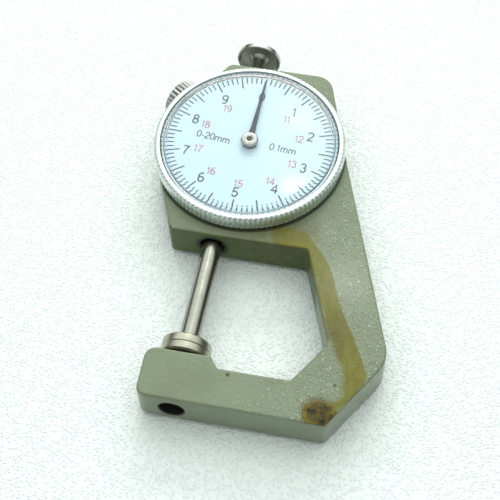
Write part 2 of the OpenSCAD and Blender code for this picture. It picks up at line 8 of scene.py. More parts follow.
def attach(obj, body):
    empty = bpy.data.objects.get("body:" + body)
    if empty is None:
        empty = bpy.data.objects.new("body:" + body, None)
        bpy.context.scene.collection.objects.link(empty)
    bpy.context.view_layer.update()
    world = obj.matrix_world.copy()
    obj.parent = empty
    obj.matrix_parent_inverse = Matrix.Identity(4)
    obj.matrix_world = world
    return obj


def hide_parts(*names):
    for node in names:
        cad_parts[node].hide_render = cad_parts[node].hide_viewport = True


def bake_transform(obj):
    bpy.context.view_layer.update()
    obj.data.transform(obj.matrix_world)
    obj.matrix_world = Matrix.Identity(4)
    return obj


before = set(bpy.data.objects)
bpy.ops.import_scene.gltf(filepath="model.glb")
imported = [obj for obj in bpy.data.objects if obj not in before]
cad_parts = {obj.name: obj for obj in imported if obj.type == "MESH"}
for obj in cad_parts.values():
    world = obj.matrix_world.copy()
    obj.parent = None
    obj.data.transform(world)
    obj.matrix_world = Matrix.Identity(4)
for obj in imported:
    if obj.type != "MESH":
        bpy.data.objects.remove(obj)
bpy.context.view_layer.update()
MM = 0.001
TAU = 2 * pi

# -------------------- sizes, in mm
# the dial's axis is Z, the spindle runs along Y, and the back cover's outer face is at Z = 0
SX, SZ = -3.6, 4.95  # spindle's axis
BUTTON_Y = 28.0  # lift button's underside
Z0, Z1 = 1.0, 9.4  # casting's back and front faces
HEAD_R = 19.6  # casting's round head
TOP_Y = 22.95  # its flat top
ARM_Y, SEAT_Y = 21.85, 48.5  # arm's lower face and anvil's seat, below the dial's axis
END_Y = 58.8  # casting's lower end, below the dial's axis
ARM_X = -12.2  # arm's left corner
LOCK_DEG, LOCK_OFF = 148, 2.6  # lock screw's direction, and how far it passes the dial's axis
LOCK = radians(LOCK_DEG)
LOCK_WAY = Vector((cos(LOCK), sin(LOCK), 0))
PLATE_SCREWS = (15.85, (45, 180, 290))  # radius and angles round the dial's axis
COVER_SCREWS = (16.7, (0, 125, 225))
SPRING_X, POST_Y, PIN_Y = -9.8, -19.6, -10.3  # return spring, from its post to the guide pin
SEAL, SEAL_R, SEAL_FLOOR = (23.9, -56.3), 2.12, 6.9  # recess in the corner
BLOB, BLOB_HALF = (24.15, -56.65), (3.35, 2.75)  # resin over it: its middle and half its size
PRINT_LOW, PRINT_TOP = 12.0, 12.02  # ink on the dial, along Z
ZERO = radians(-1.5)  # turn of the dial and of the pointer at rest


# -------------------- mesh helpers
def arc_corner(a, b, c, r, n):
    """Points that round corner b between a and c (2-D)."""
    a, b, c = Vector(a), Vector(b), Vector(c)
    u, v = (a - b).normalized(), (c - b).normalized()
    half = acos(max(-1, min(1, u.dot(v)))) / 2
    reach = r / tan(half)
    m = b + (u + v).normalized() * r / sin(half)
    s, e = b + u * reach - m, b + v * reach - m
    turn = 1 if s.x * e.y - s.y * e.x > 0 else -1
    sweep = acos(max(-1, min(1, s.dot(e) / (r * r))))
    out = []
    for i in range(n + 1):
        t = turn * sweep * i / n
        p, q = cos(t), sin(t)
        out.append((m.x + s.x * p - s.y * q, m.y + s.x * q + s.y * p))
    return out


def rounded(points, n):
    """A closed run of (x, y, radius) with its corners rounded."""
    out = []
    for i, (x, y, r) in enumerate(points):
        if r <= 0:
            out.append((x, y))
        else:
            p, q = points[i - 1], points[(i + 1) % len(points)]
            out += arc_corner(p[:2], (x, y), q[:2], r, n)
    return out


def round_axis(radius, angles):
    """Points round the dial's axis, at some angles in degrees."""
    turns = [radians(a) for a in angles]
    return [radius * Vector((cos(t), sin(t))) for t in turns]


def bow(cx, cy, rx, ry, a0, a1, n=14):
    """Points of an arc of an ellipse, from a0 to a1 degrees."""
    turns = [radians(a0 + (a1 - a0) * i / n) for i in range(n + 1)]
    return [(cx + rx * cos(t), cy + ry * sin(t)) for t in turns]


def as_object(name, bm):
    me = bpy.data.meshes.new(name)
    bm.to_mesh(me)
    bm.free()
    ob = bpy.data.objects.new(name, me)
    bpy.context.scene.collection.objects.link(ob)
    return ob


def put(name, bm, mat, body=None, smooth=35, node=None, weighted=True):
    """Makes a piece of a bmesh in mm: rides on its body, and stands for its CAD node."""
    bmesh.ops.scale(bm, vec=(MM,) * 3, verts=bm.verts)
    bmesh.ops.recalc_face_normals(bm, faces=bm.faces)
    ob = as_object(name, bm)
    ob.data.materials.append(mat)
    ob.data.shade_smooth()
    ob.data.set_sharp_from_angle(angle=radians(smooth))
    if weighted:
        ob.modifiers.new("weighted", "WEIGHTED_NORMAL").keep_sharp = True
    if body:
        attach(ob, body)
    if node:
        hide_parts(node)
    return ob


def join(bm, p, q):
    """Faces between two rings. A ring of one vertex is a pole."""
    n = max(len(p), len(q))
    for i in range(n):
        j = (i + 1) % n
        if len(p) == 1:
            bm.faces.new((p[0], q[i], q[j]))
        elif len(q) == 1:
            bm.faces.new((p[i], q[0], p[j]))
        else:
            bm.faces.new((p[i], q[i], q[j], p[j]))


def revolve(bm, prof, seg, shape=None):
    """Turns a closed profile of (r, h) round +Z. shape(angle, r, h) may change a radius."""
    rings = []
    for r, h in prof:
        if r < 1e-6:
            rings.append([bm.verts.new((0, 0, h))])
            continue
        ring = []
        for i in range(seg):
            a = TAU * i / seg
            q = shape(a, r, h) if shape else r
            ring.append(bm.verts.new((q * cos(a), q * sin(a), h)))
        rings.append(ring)
    for p, q in zip(rings, rings[1:] + rings[:1]):
        if len(p) + len(q) > 2:
            join(bm, p, q)


def turned(points, seg, n=4):
    """A turned part from its closed profile of (r, h, corner radius)."""
    bm = bmesh.new()
    revolve(bm, rounded(points, n), seg)
    return bm


def move(bm, matrix):
    bmesh.ops.transform(bm, matrix=matrix, verts=bm.verts)
    return bm


def lift(x, y, z):
    return Matrix.Translation((x, y, z))


def along_y(x, y):
    """+Z of the drawing runs along +Y, at the spindle's height."""
    return lift(x, y, SZ) @ Matrix.Rotation(-pi / 2, 4, "X")


def along_x(x, y):
    """+Z of the drawing runs along +X, at the spindle's height."""
    return lift(x, y, SZ) @ Matrix.Rotation(pi / 2, 4, "Y")


def lock_frame(distance):
    """+Z of the drawing runs outwards along the lock screw."""
    p = LOCK_WAY * distance + Vector((LOCK_WAY.y, -LOCK_WAY.x, 0)) * LOCK_OFF
    return lift(p.x, p.y, SZ) @ Matrix.Rotation(LOCK, 4, "Z") @ Matrix.Rotation(pi / 2, 4, "Y")


def prism(bm, outline, z0, z1, bevel_low, bevel_top, steps):
    """A plate of a closed outline with rounded lower and upper edges."""
    n = len(outline)
    miters = []
    for i in range(n):
        a, b, c = (Vector(outline[k % n]) for k in (i - 1, i, i + 1))
        e, f = (b - a).normalized(), (c - b).normalized()
        p, q = Vector((-e.y, e.x)), Vector((-f.y, f.x))
        miters.append((p + q) / (1 + p.dot(q)))
    loops = []
    if bevel_low > 0:
        for k in range(steps):
            t = k / steps * pi / 2
            loops.append((bevel_low * (1 - sin(t)), z0 + bevel_low * (1 - cos(t))))
    loops.append((0, z0 + bevel_low))
    loops.append((0, z1 - bevel_top))
    for k in range(1, steps + 1):
        t = k / steps * pi / 2
        loops.append((bevel_top * (1 - cos(t)), z1 - bevel_top * (1 - sin(t))))
    rings = []
    for d, z in loops:
        inset = [(x + d * m.x, y + d * m.y, z) for (x, y), m in zip(outline, miters)]
        rings.append([bm.verts.new(p) for p in inset])
    for p, q in zip(rings, rings[1:]):
        for i in range(n):
            j = (i + 1) % n
            bm.faces.new((p[i], p[j], q[j], q[i]))
    bm.faces.new(list(reversed(rings[0])))
    bm.faces.new(rings[-1])


def add_to(bm, other):
    """Adds another drawing's faces to this one."""
    me = bpy.data.meshes.new("added")
    other.to_mesh(me)
    other.free()
    bm.from_mesh(me)
    bpy.data.meshes.remove(me)


def scratch(bm):
    """An object for the time of a cut."""
    bmesh.ops.recalc_face_normals(bm, faces=bm.faces)
    return as_object("cut", bm)


def carve(bm, cutters):
    """The bmesh less each cutter, as a new bmesh."""
    base = scratch(bm)
    tools = [scratch(c) for c in cutters]
    for t in tools:
        m = base.modifiers.new("b", "BOOLEAN")
        m.operation = "DIFFERENCE"
        m.solver = "EXACT"
        m.object = t
    bpy.context.view_layer.update()
    dg = bpy.context.evaluated_depsgraph_get()
    me = bpy.data.meshes.new_from_object(base.evaluated_get(dg))
    out = bmesh.new()
    out.from_mesh(me)
    for o in [base] + tools:
        old = o.data
        bpy.data.objects.remove(o)
        bpy.data.meshes.remove(old)
    bpy.data.meshes.remove(me)
    bmesh.ops.remove_doubles(out, verts=out.verts, dist=1e-4)
    return out


def drill(profile, matrix, seg=96):
    """A stepped cutter from its closed profile of (r, h)."""
    bm = bmesh.new()
    revolve(bm, profile, seg)
    return move(bm, matrix)


def rod(r, h, matrix, seg, r2=None):
    """A plain cylinder, or a cone that ends with the radius r2, for cutting."""
    return drill([(0, 0), (r, 0), (r2 or r, h), (0, h)], matrix, seg)


# -------------------- material helpers
class Nodes:
    """Builds the nodes of a new material of some name, or of a world."""

    def __init__(self, what, output="OutputMaterial"):
        self.mat = bpy.data.materials.new(what) if isinstance(what, str) else what
        self.mat.use_nodes = True
        self.t = self.mat.node_tree
        self.t.nodes.clear()
        self.out = self.add(output)
        self.co = None

    def add(self, kind, ins=None, **props):
        n = self.t.nodes.new("ShaderNode" + kind)
        for k, v in props.items():
            setattr(n, k, v)
        for k, v in (ins or {}).items():
            self.feed(n.inputs[k], v)
        return n

    def feed(self, socket, v):
        if isinstance(v, bpy.types.NodeSocket):
            self.t.links.new(v, socket)
        elif isinstance(v, (tuple, list)) and len(v) == 3 and socket.type == "RGBA":
            socket.default_value = (*v, 1)
        else:
            socket.default_value = v

    def vector(self, op, a, b):
        return self.add("VectorMath", {0: a, 1: b}, operation=op)

    def mm(self):
        """The point in the object's own space, in mm."""
        if self.co is None:
            own = self.add("TexCoord").outputs["Object"]
            self.co = self.vector("MULTIPLY", own, (1000.0,) * 3).outputs[0]
        return self.co

    def facing(self):
        """X, Y and Z of the surface's own normal."""
        return self.xyz(self.add("TexCoord").outputs["Normal"])

    def math(self, op, a, b=0.0, clamp=False):
        n = self.add("Math", {0: a, 1: b}, operation=op, use_clamp=clamp)
        return n.outputs[0]

    def times(self, first, *more):
        for v in more:
            first = self.math("MULTIPLY", first, v)
        return first

    def plus(self, first, *more):
        for v in more:
            first = self.math("ADD", first, v)
        return first

    def minus(self, a, b):
        return self.math("SUBTRACT", a, b)

    def larger(self, a, b):
        return self.math("MAXIMUM", a, b)

    def reach(self, a, b):
        """Length of the line with the sides a and b."""
        return self.math("SQRT", self.plus(self.times(a, a), self.times(b, b)))

    def away(self, px, py):
        """Distance from the point px, py, seen from above."""
        x, y = self.xyz()[:2]
        return self.vector("DISTANCE", self.vec(x, y, 0.0), (px, py, 0.0)).outputs["Value"]

    def xyz(self, v=None):
        return self.add("SeparateXYZ", {0: v if v is not None else self.mm()}).outputs

    def vec(self, x, y, z):
        return self.add("CombineXYZ", {0: x, 1: y, 2: z}).outputs[0]

    def stretch(self, s):
        return self.vector("MULTIPLY", self.mm(), s).outputs[0]

    def noise(self, scale, v=None, detail=3.0, rough=0.5, distort=0.0):
        ins = {"Scale": scale, "Detail": detail, "Roughness": rough, "Distortion": distort}
        ins["Vector"] = v if v is not None else self.mm()
        return self.add("TexNoise", ins).outputs["Fac"]

    def cells(self, scale, v=None, smooth=None):
        """Distance to the nearest of scattered points; smooth rounds the borders."""
        n = self.add("TexVoronoi", feature="F1" if smooth is None else "SMOOTH_F1")
        self.feed(n.inputs["Vector"], v if v is not None else self.mm())
        self.feed(n.inputs["Scale"], scale)
        if smooth is not None:
            self.feed(n.inputs["Smoothness"], smooth)
        return n.outputs["Distance"]

    def ramp(self, v, a, b, lo=0.0, hi=1.0, kind="SMOOTHSTEP"):
        """v from a to b goes from lo to hi, and stops there."""
        ins = {"Value": v, "From Min": a, "From Max": b, "To Min": lo, "To Max": hi}
        n = self.add("MapRange", ins, interpolation_type=kind, clamp=True)
        return n.outputs[0]

    def mix(self, f, a, b, blend="MIX"):
        n = self.add("Mix", data_type="RGBA", blend_type=blend)
        self.feed(n.inputs[0], f)
        self.feed(n.inputs[6], a)
        self.feed(n.inputs[7], b)
        return n.outputs[2]

    def curve(self, v, points):
        """A float curve through the points, all from 0 to 1."""
        n = self.add("FloatCurve", {"Value": v})
        c = n.mapping.curves[0]
        while len(c.points) > 2:
            c.points.remove(c.points[0])
        c.points[0].location, c.points[1].location = points[0], points[-1]
        for p in points[1:-1]:
            c.points.new(*p)
        for p in c.points:
            p.handle_type = "AUTO"
        n.mapping.update()
        return n.outputs[0]

    def bump(self, height, strength=1.0):
        """Relief of a height in mm."""
        ins = {"Height": height, "Distance": MM, "Strength": strength}
        return self.add("Bump", ins).outputs[0]

    def shade(self, **ins):
        n = self.add("BsdfPrincipled", {k.replace("_", " "): v for k, v in ins.items()})
        self.feed(self.out.inputs[0], n.outputs[0])
        return self.mat


# -------------------- paint of the casting
PAINT_DARK, PAINT_LIGHT = (0.196, 0.240, 0.142), (0.226, 0.274, 0.172)
# chips in the paint: x, y and radius
CHIPS = ((5.95, -51.9, 0.42), (26.05, -50.4, 0.32), (-12.25, -21.4, 0.30), (32.55, -51.5, 0.25))
# the varnish run: y, and the left and the right edge there
RUN_LOW, RUN_SPAN = -56.0, 40.0
RUN = [
    (-56.0, 23.4, 26.2), (-54.6, 25.2, 27.9), (-53.3, 26.7, 28.8), (-51.0, 27.3, 30.4),
    (-47.7, 27.1, 31.6), (-45.8, 26.3, 31.0), (-42.8, 24.6, 29.6), (-39.8, 23.0, 28.1),
    (-36.8, 21.6, 26.3), (-31.9, 19.7, 24.0), (-26.1, 17.5, 21.6), (-23.6, 15.6, 20.1),
    (-21.7, 9.6, 18.5), (-20.4, 8.5, 17.4), (-19.3, 8.5, 16.4), (-18.5, 8.5, 15.8),
]


def hammer_drops(m, x, face):
    """Raised drops of the hammer finish, coarse along the spine and faint elsewhere, with painted
    glints.
    """
    warp = m.noise(0.9, detail=2)
    shift = m.vec(m.times(warp, 1.1), m.times(warp, -0.9), 0.0)
    co = m.vector("ADD", m.mm(), shift).outputs[0]
    patch = m.noise(0.22, detail=3)
    coarse = m.ramp(m.plus(x, m.times(m.minus(patch, 0.5), 18.0)), 5.0, 22.0, 0.16, 1.0)
    coarse = m.times(coarse, m.ramp(face, 0, 1, 0.45, 1.0))
    drop = m.times(m.ramp(m.cells(1.3, co, 0.12), 0.04, 0.55, 1.0, 0.0), coarse)
    bead = m.times(m.ramp(m.cells(2.6, co, 0.25), 0.10, 0.60, 1.0, 0.0), coarse)
    # painted glints: light specks in the crowns of some drops, and between them
    crown_glint = m.ramp(m.cells(1.3, co), 0.06, 0.30, 1.0, 0.0)
    crown_glint = m.times(crown_glint, m.ramp(m.noise(1.1, co, detail=1), 0.40, 0.60))
    grain = m.ramp(m.cells(2.4, co), 0.05, 0.34, 1.0, 0.0)
    grain = m.times(grain, m.ramp(m.noise(1.7, co, detail=2), 0.43, 0.57))
    painted_glint = m.times(m.larger(crown_glint, grain), coarse, face)
    return co, patch, drop, bead, painted_glint


def varnish_masks(m, x, y, face):
    """0 to 1 masks of the varnish run: the band, its raised edge (which also gets a painted highlight),
    its thick places and streaks.
    """
    t = m.math("DIVIDE", m.minus(y, RUN_LOW), RUN_SPAN)
    rows = [((a - RUN_LOW) / RUN_SPAN, b / RUN_SPAN, c / RUN_SPAN) for a, b, c in RUN]
    left = m.times(m.curve(t, [(a, b) for a, b, _ in rows]), RUN_SPAN)
    right = m.times(m.curve(t, [(a, c) for a, _, c in rows]), RUN_SPAN)
    wob = m.times(m.minus(m.noise(0.45, detail=4, rough=0.6), 0.5), 2.2)
    inner = m.minus(m.plus(x, wob), left)
    outer = m.minus(right, m.plus(x, m.times(wob, 0.25)))
    ends = m.times(m.ramp(y, -17.2, -18.4), m.ramp(y, -56.6, -55.2))
    band = m.times(m.ramp(inner, -0.9, 1.1), m.ramp(outer, -0.15, 0.35), ends, face)
    edge = m.ramp(m.math("ABSOLUTE", m.plus(outer, 0.25)), 0.05, 0.28, 1.0, 0.0)
    edge = m.times(edge, ends, face)
    # the run is thickest round one point
    far = m.reach(m.minus(x, 24.4), m.times(m.minus(y, -41.0), 0.4))
    streak = m.noise(1.1, m.stretch((1.0, 0.35, 1.0)), detail=5, rough=0.65)
    spots = m.times(m.ramp(streak, 0.34, 0.70), 0.45)
    thick = m.math("ADD", m.ramp(far, 0.4, 3.6, 0.75, 0.0), spots, clamp=True)
    return band, edge, thick, streak


def soiled(m, paint, co, face, inside, patch):
    """Film, chips, grime and painted shade over the clean paint."""
    x, y, z = m.xyz()[:3]
    spots = m.times(m.ramp(m.noise(2.4, detail=4, rough=0.7), 0.52, 0.78), 0.16)
    paint = m.mix(spots, paint, (0.10, 0.12, 0.06))
    # brownish film on the arm, beside the bezel and under it
    film = m.ramp(m.plus(x, m.times(patch, 4.0)), -2.0, 9.0, 0.25, 1.0)
    film = m.times(m.ramp(y, -27.0, -21.0), film, m.ramp(y, -12.0, -17.5), m.ramp(x, 19.5, 15.5))
    film = m.times(film, m.ramp(m.noise(0.6, detail=4), 0.30, 0.62, 0.45, 1.0))
    paint = m.mix(m.times(film, 0.72), paint, (0.150, 0.142, 0.034))
    speck = m.ramp(m.cells(0.26, co), 0.030, 0.050, 1.0, 0.0)
    for px, py, pr in CHIPS:
        speck = m.larger(speck, m.ramp(m.away(px, py), pr * 0.6, pr * 1.3, 1.0, 0.0))
    paint = m.mix(m.times(speck, 0.85), paint, (0.05, 0.045, 0.02))
    # darker low on the side walls, in patches
    low = m.times(m.ramp(z, 4.5, 1.0), m.ramp(m.noise(0.35, detail=4), 0.30, 0.70))
    paint = m.mix(m.times(low, 0.40), paint, (0.09, 0.10, 0.05))
    # painted shade on the walls of the throat, and olive grime with painted shade on the arm's face
    # under the head
    paint = m.mix(inside, paint, m.mix(1.0, paint, (0.56, 0.65, 0.42), "MULTIPLY"))
    arm_face_grime_and_shade = m.times(m.ramp(x, 3.0, 7.0), m.ramp(x, 14.0, 11.0))
    arm_face_grime_and_shade = m.times(arm_face_grime_and_shade, m.ramp(m.noise(0.5, detail=4), 0.35, 0.6), inside, m.ramp(y, -23.5, -22.8))
    paint = m.mix(m.times(arm_face_grime_and_shade, 0.55), paint, (0.095, 0.092, 0.030))
    # varnish soaked in round the resin
    blob = m.plus(m.away(*BLOB), m.times(m.noise(0.8, detail=3), 1.6))
    return m.mix(m.times(m.ramp(blob, 3.7, 5.0, 0.8, 0.0), face), paint, (0.115, 0.100, 0.020))


def hammer_paint():
    """Grey-green hammer finish with a dried run of brown varnish along the spine."""
    m = Nodes("hammer_paint")
    x, y, z = m.xyz()[:3]
    up = m.facing()[2]
    face = m.ramp(up, 0.45, 0.85)
    inside = m.times(m.ramp(x, -14.5, -13.5), m.ramp(x, 20.0, 19.0), m.ramp(up, 0.35, 0.70, 1.0, 0.0))
    inside = m.times(inside, m.ramp(y, -56.0, -55.0), m.ramp(y, -19.0, -20.0))
    co, patch, drop, bead, painted_glint = hammer_drops(m, x, face)
    paint = m.mix(m.ramp(m.noise(0.10, detail=3), 0.3, 0.7), PAINT_DARK, PAINT_LIGHT)
    # lighter drop crowns: a painted highlight
    paint = m.mix(m.times(drop, 0.16), paint, (0.40, 0.46, 0.36))
    # light specks here are painted glints
    paint = m.mix(m.times(painted_glint, 0.66), paint, (0.70, 0.76, 0.66))
    paint = soiled(m, paint, co, face, inside, patch)

    band, edge, thick, streak = varnish_masks(m, x, y, face)
    varnish = m.mix(thick, (0.168, 0.166, 0.002), (0.106, 0.090, 0.0))
    colour = m.mix(m.times(band, m.ramp(streak, 0.25, 0.6, 0.90, 1.0)), paint, varnish)
    # a painted highlight along the varnish's raised edge
    colour = m.mix(m.times(edge, 0.14), colour, (0.38, 0.38, 0.26))
    # painted shade in the corner under the bezel
    ring = m.times(m.ramp(m.reach(x, y), 20.25, 20.52, 0.75, 0.0), face)
    colour = m.mix(ring, colour, (0.030, 0.030, 0.018))
    # near-black wall of the anvil screw's hole, and the dirty rim of the spindle's
    off = m.reach(m.minus(x, SX), m.minus(z, SZ))
    bore = m.times(m.ramp(off, 2.62, 2.80, 1.0, 0.0), m.ramp(y, -52.0, -52.4), 0.97)
    grime = m.times(m.ramp(off, 2.6, 3.9, 0.9, 0.0), m.ramp(y, -22.6, -22.2), m.ramp(y, -19.0, -20.5))
    colour = m.mix(m.larger(bore, grime), colour, (0.014, 0.014, 0.012))

    height = m.plus(m.times(drop, 0.16), m.times(bead, 0.030))
    height = m.times(height, m.ramp(band, 0, 1, 1.0, 0.35))
    height = m.plus(height, m.times(band, 0.05), m.times(edge, 0.05))
    height = m.plus(height, m.times(m.noise(0.35, detail=2), 0.08))
    height = m.plus(height, m.times(m.noise(3.2, detail=3), 0.006))
    return m.shade(
        Base_Color=colour, Roughness=m.ramp(m.noise(0.8, detail=3), 0.3, 0.7, 0.34, 0.48),
        Normal=m.bump(height), Specular_IOR_Level=0.22, IOR=1.5,
        Coat_Weight=m.minus(0.45, m.times(inside, 0.35)), Coat_Roughness=0.11,
    )


# -------------------- metals
def metal(name, base, rough, axis=None, lines=4.0, depth=0.004, dirt=0.0,
          soil_and_shade=(0.05, 0.045, 0.03), stain_and_shade=None):
    """Turned, ground or plated metal. axis is the one that the tool marks run round.

    The last argument may give a 0 to 1 mask of stained places and of painted shade."""
    m = Nodes(name)
    cloud = m.noise(0.5, detail=4, rough=0.6)
    if axis is None:
        marks = m.noise(lines, detail=3)
    else:
        along = [0.08, 0.08, 0.08]
        along["xyz".index(axis)] = 1.0
        marks = m.noise(lines, m.stretch(tuple(along)), detail=4, rough=0.65)
    colour = m.mix(m.ramp(cloud, 0.3, 0.75), base, tuple(c * 0.86 for c in base))
    colour = m.mix(m.times(m.ramp(marks, 0.35, 0.8), 0.18), colour, tuple(c * 0.6 for c in base))
    dull = m.ramp(m.plus(m.times(cloud, 0.6), m.times(marks, 0.4)), 0.3, 0.7, *rough)
    shiny = 1.0
    if dirt:
        spots = m.times(m.ramp(m.noise(1.6, detail=5, rough=0.7), 0.56, 0.72), dirt)
        if stain_and_shade:
            # the mask may add painted shade to the dirt spots
            spots = m.larger(spots, stain_and_shade(m))
        colour = m.mix(spots, colour, soil_and_shade)
        dull = m.plus(dull, m.times(spots, 0.3))
        shiny = m.ramp(spots, 0.3, 1.0, 1.0, 0.3)
    return m.shade(
        Base_Color=colour, Metallic=shiny, Roughness=dull, Normal=m.bump(m.times(marks, depth)),
    )


def groove_stain(m):
    """Painted shade in the gap between the bezel's lip and the crystal, and at the bezel's foot."""
    x, y, z = m.xyz()[:3]
    gap = m.times(m.ramp(m.reach(x, y), 18.72, 18.62), m.ramp(z, 13.04, 12.94))
    return m.times(m.larger(gap, m.ramp(z, 10.02, 9.92)), 0.95)


def face_stain(m):
    """Rust and painted shade at the anvil's seat, and on the lower faces of the discs."""
    y = m.xyz()[1]
    seat = m.ramp(y, -48.0, -48.3)
    under = m.times(m.ramp(m.facing()[1], -0.75, -0.92), m.ramp(y, -47.4, -47.9, 0.35, 1.0))
    rust = m.ramp(m.noise(0.9, detail=5, rough=0.7), 0.38, 0.62, 0.62, 0.95)
    return m.times(m.larger(seat, under), rust)


def arbor_stain(m):
    """The hub is dark next to its arbor."""
    x, y = m.xyz()[:2]
    off = m.plus(m.reach(x, y), m.times(m.noise(2.0, detail=3), 0.2))
    return m.ramp(off, 0.62, 0.86, 0.9, 0.0)


def under_stain(m):
    """Painted shade on the lower faces of the lift button."""
    height = m.ramp(m.xyz()[1], BUTTON_Y + 1.6, BUTTON_Y + 1.3, 0.2, 0.42)
    return m.times(m.ramp(m.facing()[1], -0.30, -0.75), height)


def black_oxide():
    m = Nodes("black_oxide")
    n = m.noise(1.2, detail=4)
    worn = m.times(m.ramp(m.noise(3.0, detail=4, rough=0.7), 0.55, 0.75), 0.35)
    return m.shade(
        Base_Color=m.mix(worn, (0.012, 0.012, 0.013), (0.07, 0.068, 0.06)), Metallic=0.6,
        Roughness=m.ramp(n, 0.3, 0.7, 0.34, 0.55), Normal=m.bump(m.times(n, 0.01)),
    )


# -------------------- dial, crystal, pointer and resin
def dial_enamel():
    """Pale blue-white printed sheet, with painted shade greying its edge under the bezel's lip."""
    m = Nodes("dial_enamel")
    x, y = m.xyz()[:2]
    cloud = m.ramp(m.noise(0.12, detail=2), 0.3, 0.7)
    colour = m.mix(cloud, (0.590, 0.765, 0.850), (0.615, 0.795, 0.875))
    # painted shade at the rim, under the bezel's lip
    colour = m.mix(m.ramp(m.reach(x, y), 16.8, 18.1, 0.0, 0.45), colour, (0.42, 0.54, 0.61))
    dust = m.times(m.ramp(m.cells(0.9), 0.03, 0.06, 1.0, 0.0), 0.12)
    colour = m.mix(dust, colour, (0.30, 0.36, 0.40))
    grain = m.noise(6.0, detail=2)
    return m.shade(
        Base_Color=colour, Roughness=m.ramp(grain, 0.3, 0.7, 0.42, 0.5), Specular_IOR_Level=0.4,
        Normal=m.bump(m.times(grain, 0.003)),
    )


def coating(name, base, fade, grain, tone, rough, shine):
    """Ink or paint that fades in patches."""
    m = Nodes(name)
    n = m.noise(grain, detail=3)
    return m.shade(
        Base_Color=m.mix(m.ramp(n, *tone), base, fade), Roughness=m.ramp(n, 0.3, 0.7, *rough),
        Specular_IOR_Level=shine, Normal=m.bump(m.times(n, 0.004)),
    )


def acrylic():
    """Clear, worn dome that bends light. Lamps shine through it, as shadow rays pass."""
    m = Nodes("clear_acrylic")
    hair = m.ramp(m.noise(1.0, m.stretch((0.3, 6.0, 1.0)), detail=4, rough=0.7), 0.70, 0.80)
    glass = m.add("BsdfPrincipled", {
        "Base Color": (0.985, 1.0, 1.0), "Roughness": m.plus(m.times(hair, 0.04), 0.085),
        "IOR": 1.42, "Transmission Weight": 1.0,
        "Normal": m.bump(m.times(m.noise(0.10, detail=1), 0.02), strength=0.3),
    })
    clear = m.add("BsdfTransparent", {"Color": (0.95, 0.98, 0.98)})
    shadow = m.add("LightPath").outputs["Is Shadow Ray"]
    mix = m.add("MixShader", {0: shadow, 1: glass.outputs[0], 2: clear.outputs[0]})
    m.feed(m.out.inputs[0], mix.outputs[0])
    return m.mat


def resin():
    """Brown resin with lumps, amber at its rim where it is thin."""
    m = Nodes("amber_resin")
    lump = m.noise(0.9, detail=5, rough=0.62, distort=0.8)
    vein = m.cells(0.85, smooth=0.3)
    colour = m.mix(m.ramp(lump, 0.38, 0.66), (0.016, 0.010, 0.001), (0.080, 0.060, 0.004))
    colour = m.mix(m.times(m.ramp(vein, 0.35, 0.7), 0.5), colour, (0.150, 0.120, 0.010))
    rim = m.ramp(m.plus(m.away(*BLOB), m.times(lump, 1.2)), 2.7, 3.2)
    colour = m.mix(m.times(rim, 0.6), colour, (0.230, 0.175, 0.012))
    return m.shade(
        Base_Color=colour, Roughness=m.ramp(lump, 0.3, 0.7, 0.14, 0.34), Specular_IOR_Level=0.22,
        Normal=m.bump(m.plus(m.times(lump, 0.5), m.times(vein, 0.25))),
        Coat_Weight=0.18, Coat_Roughness=0.10,
    )


PAINT = hammer_paint()
GROUND = metal("ground_steel", (0.41, 0.415, 0.35), (0.16, 0.28), "y", 3.0, 0.0025, dirt=0.35)
DISC = metal(
    "turned_steel", (0.50, 0.495, 0.39), (0.24, 0.40), "y", 5.0, 0.006,
    dirt=0.45, soil_and_shade=(0.045, 0.028, 0.010), stain_and_shade=face_stain,
)
BUTTON = metal(
    "button_steel", (0.58, 0.59, 0.54), (0.14, 0.26), "y",
    dirt=0.25, soil_and_shade=(0.02, 0.02, 0.015), stain_and_shade=under_stain,
)
HUB = metal(
    "hub_nickel", (0.38, 0.38, 0.35), (0.22, 0.36),
    dirt=0.35, soil_and_shade=(0.045, 0.025, 0.012), stain_and_shade=arbor_stain,
)
NICKEL = metal(
    "nickel_plate", (0.88, 0.97, 0.93), (0.34, 0.48), None, 2.0, 0.003,
    dirt=0.20, soil_and_shade=(0.05, 0.05, 0.035), stain_and_shade=groove_stain,
)
KNOB = metal(
    "knob_nickel", (0.41, 0.43, 0.40), (0.26, 0.42), None, 2.0,
    dirt=0.4, soil_and_shade=(0.10, 0.10, 0.06),
)
STEEL = metal("plain_steel", (0.50, 0.50, 0.49), (0.26, 0.40), None, 6.0, dirt=0.2)
BLUED = metal("blued_steel", (0.10, 0.14, 0.26), (0.22, 0.34), None, 4.0, 0.003)
COVER = metal(
    "cover_aluminium", (0.60, 0.61, 0.60), (0.30, 0.44), "x",
    dirt=0.25, soil_and_shade=(0.25, 0.24, 0.20),
)
ARBOR = metal("arbor_steel", (0.045, 0.026, 0.014), (0.40, 0.55), None, 5.0, dirt=0.3)
BRASS = metal(
    "movement_brass", (0.60, 0.44, 0.17), (0.24, 0.42), None, 5.0, 0.005,
    dirt=0.25, soil_and_shade=(0.16, 0.10, 0.04),
)
BLACK = black_oxide()
ENAMEL = dial_enamel()
INK_LOOK = {"grain": 3.5, "tone": (0.35, 0.7), "rough": (0.38, 0.5), "shine": 0.5}
INK = coating("black_ink", (0.006, 0.010, 0.013), (0.020, 0.028, 0.032), **INK_LOOK)
RED = coating("red_ink", (0.42, 0.085, 0.13), (0.50, 0.16, 0.21), **INK_LOOK)
HAND = coating(
    "pointer_paint", (0.006, 0.014, 0.026), (0.012, 0.026, 0.042),
    grain=2.0, tone=(0.3, 0.7), rough=(0.40, 0.5), shine=0.25,
)
ACRYLIC = acrylic()
RESIN = resin()


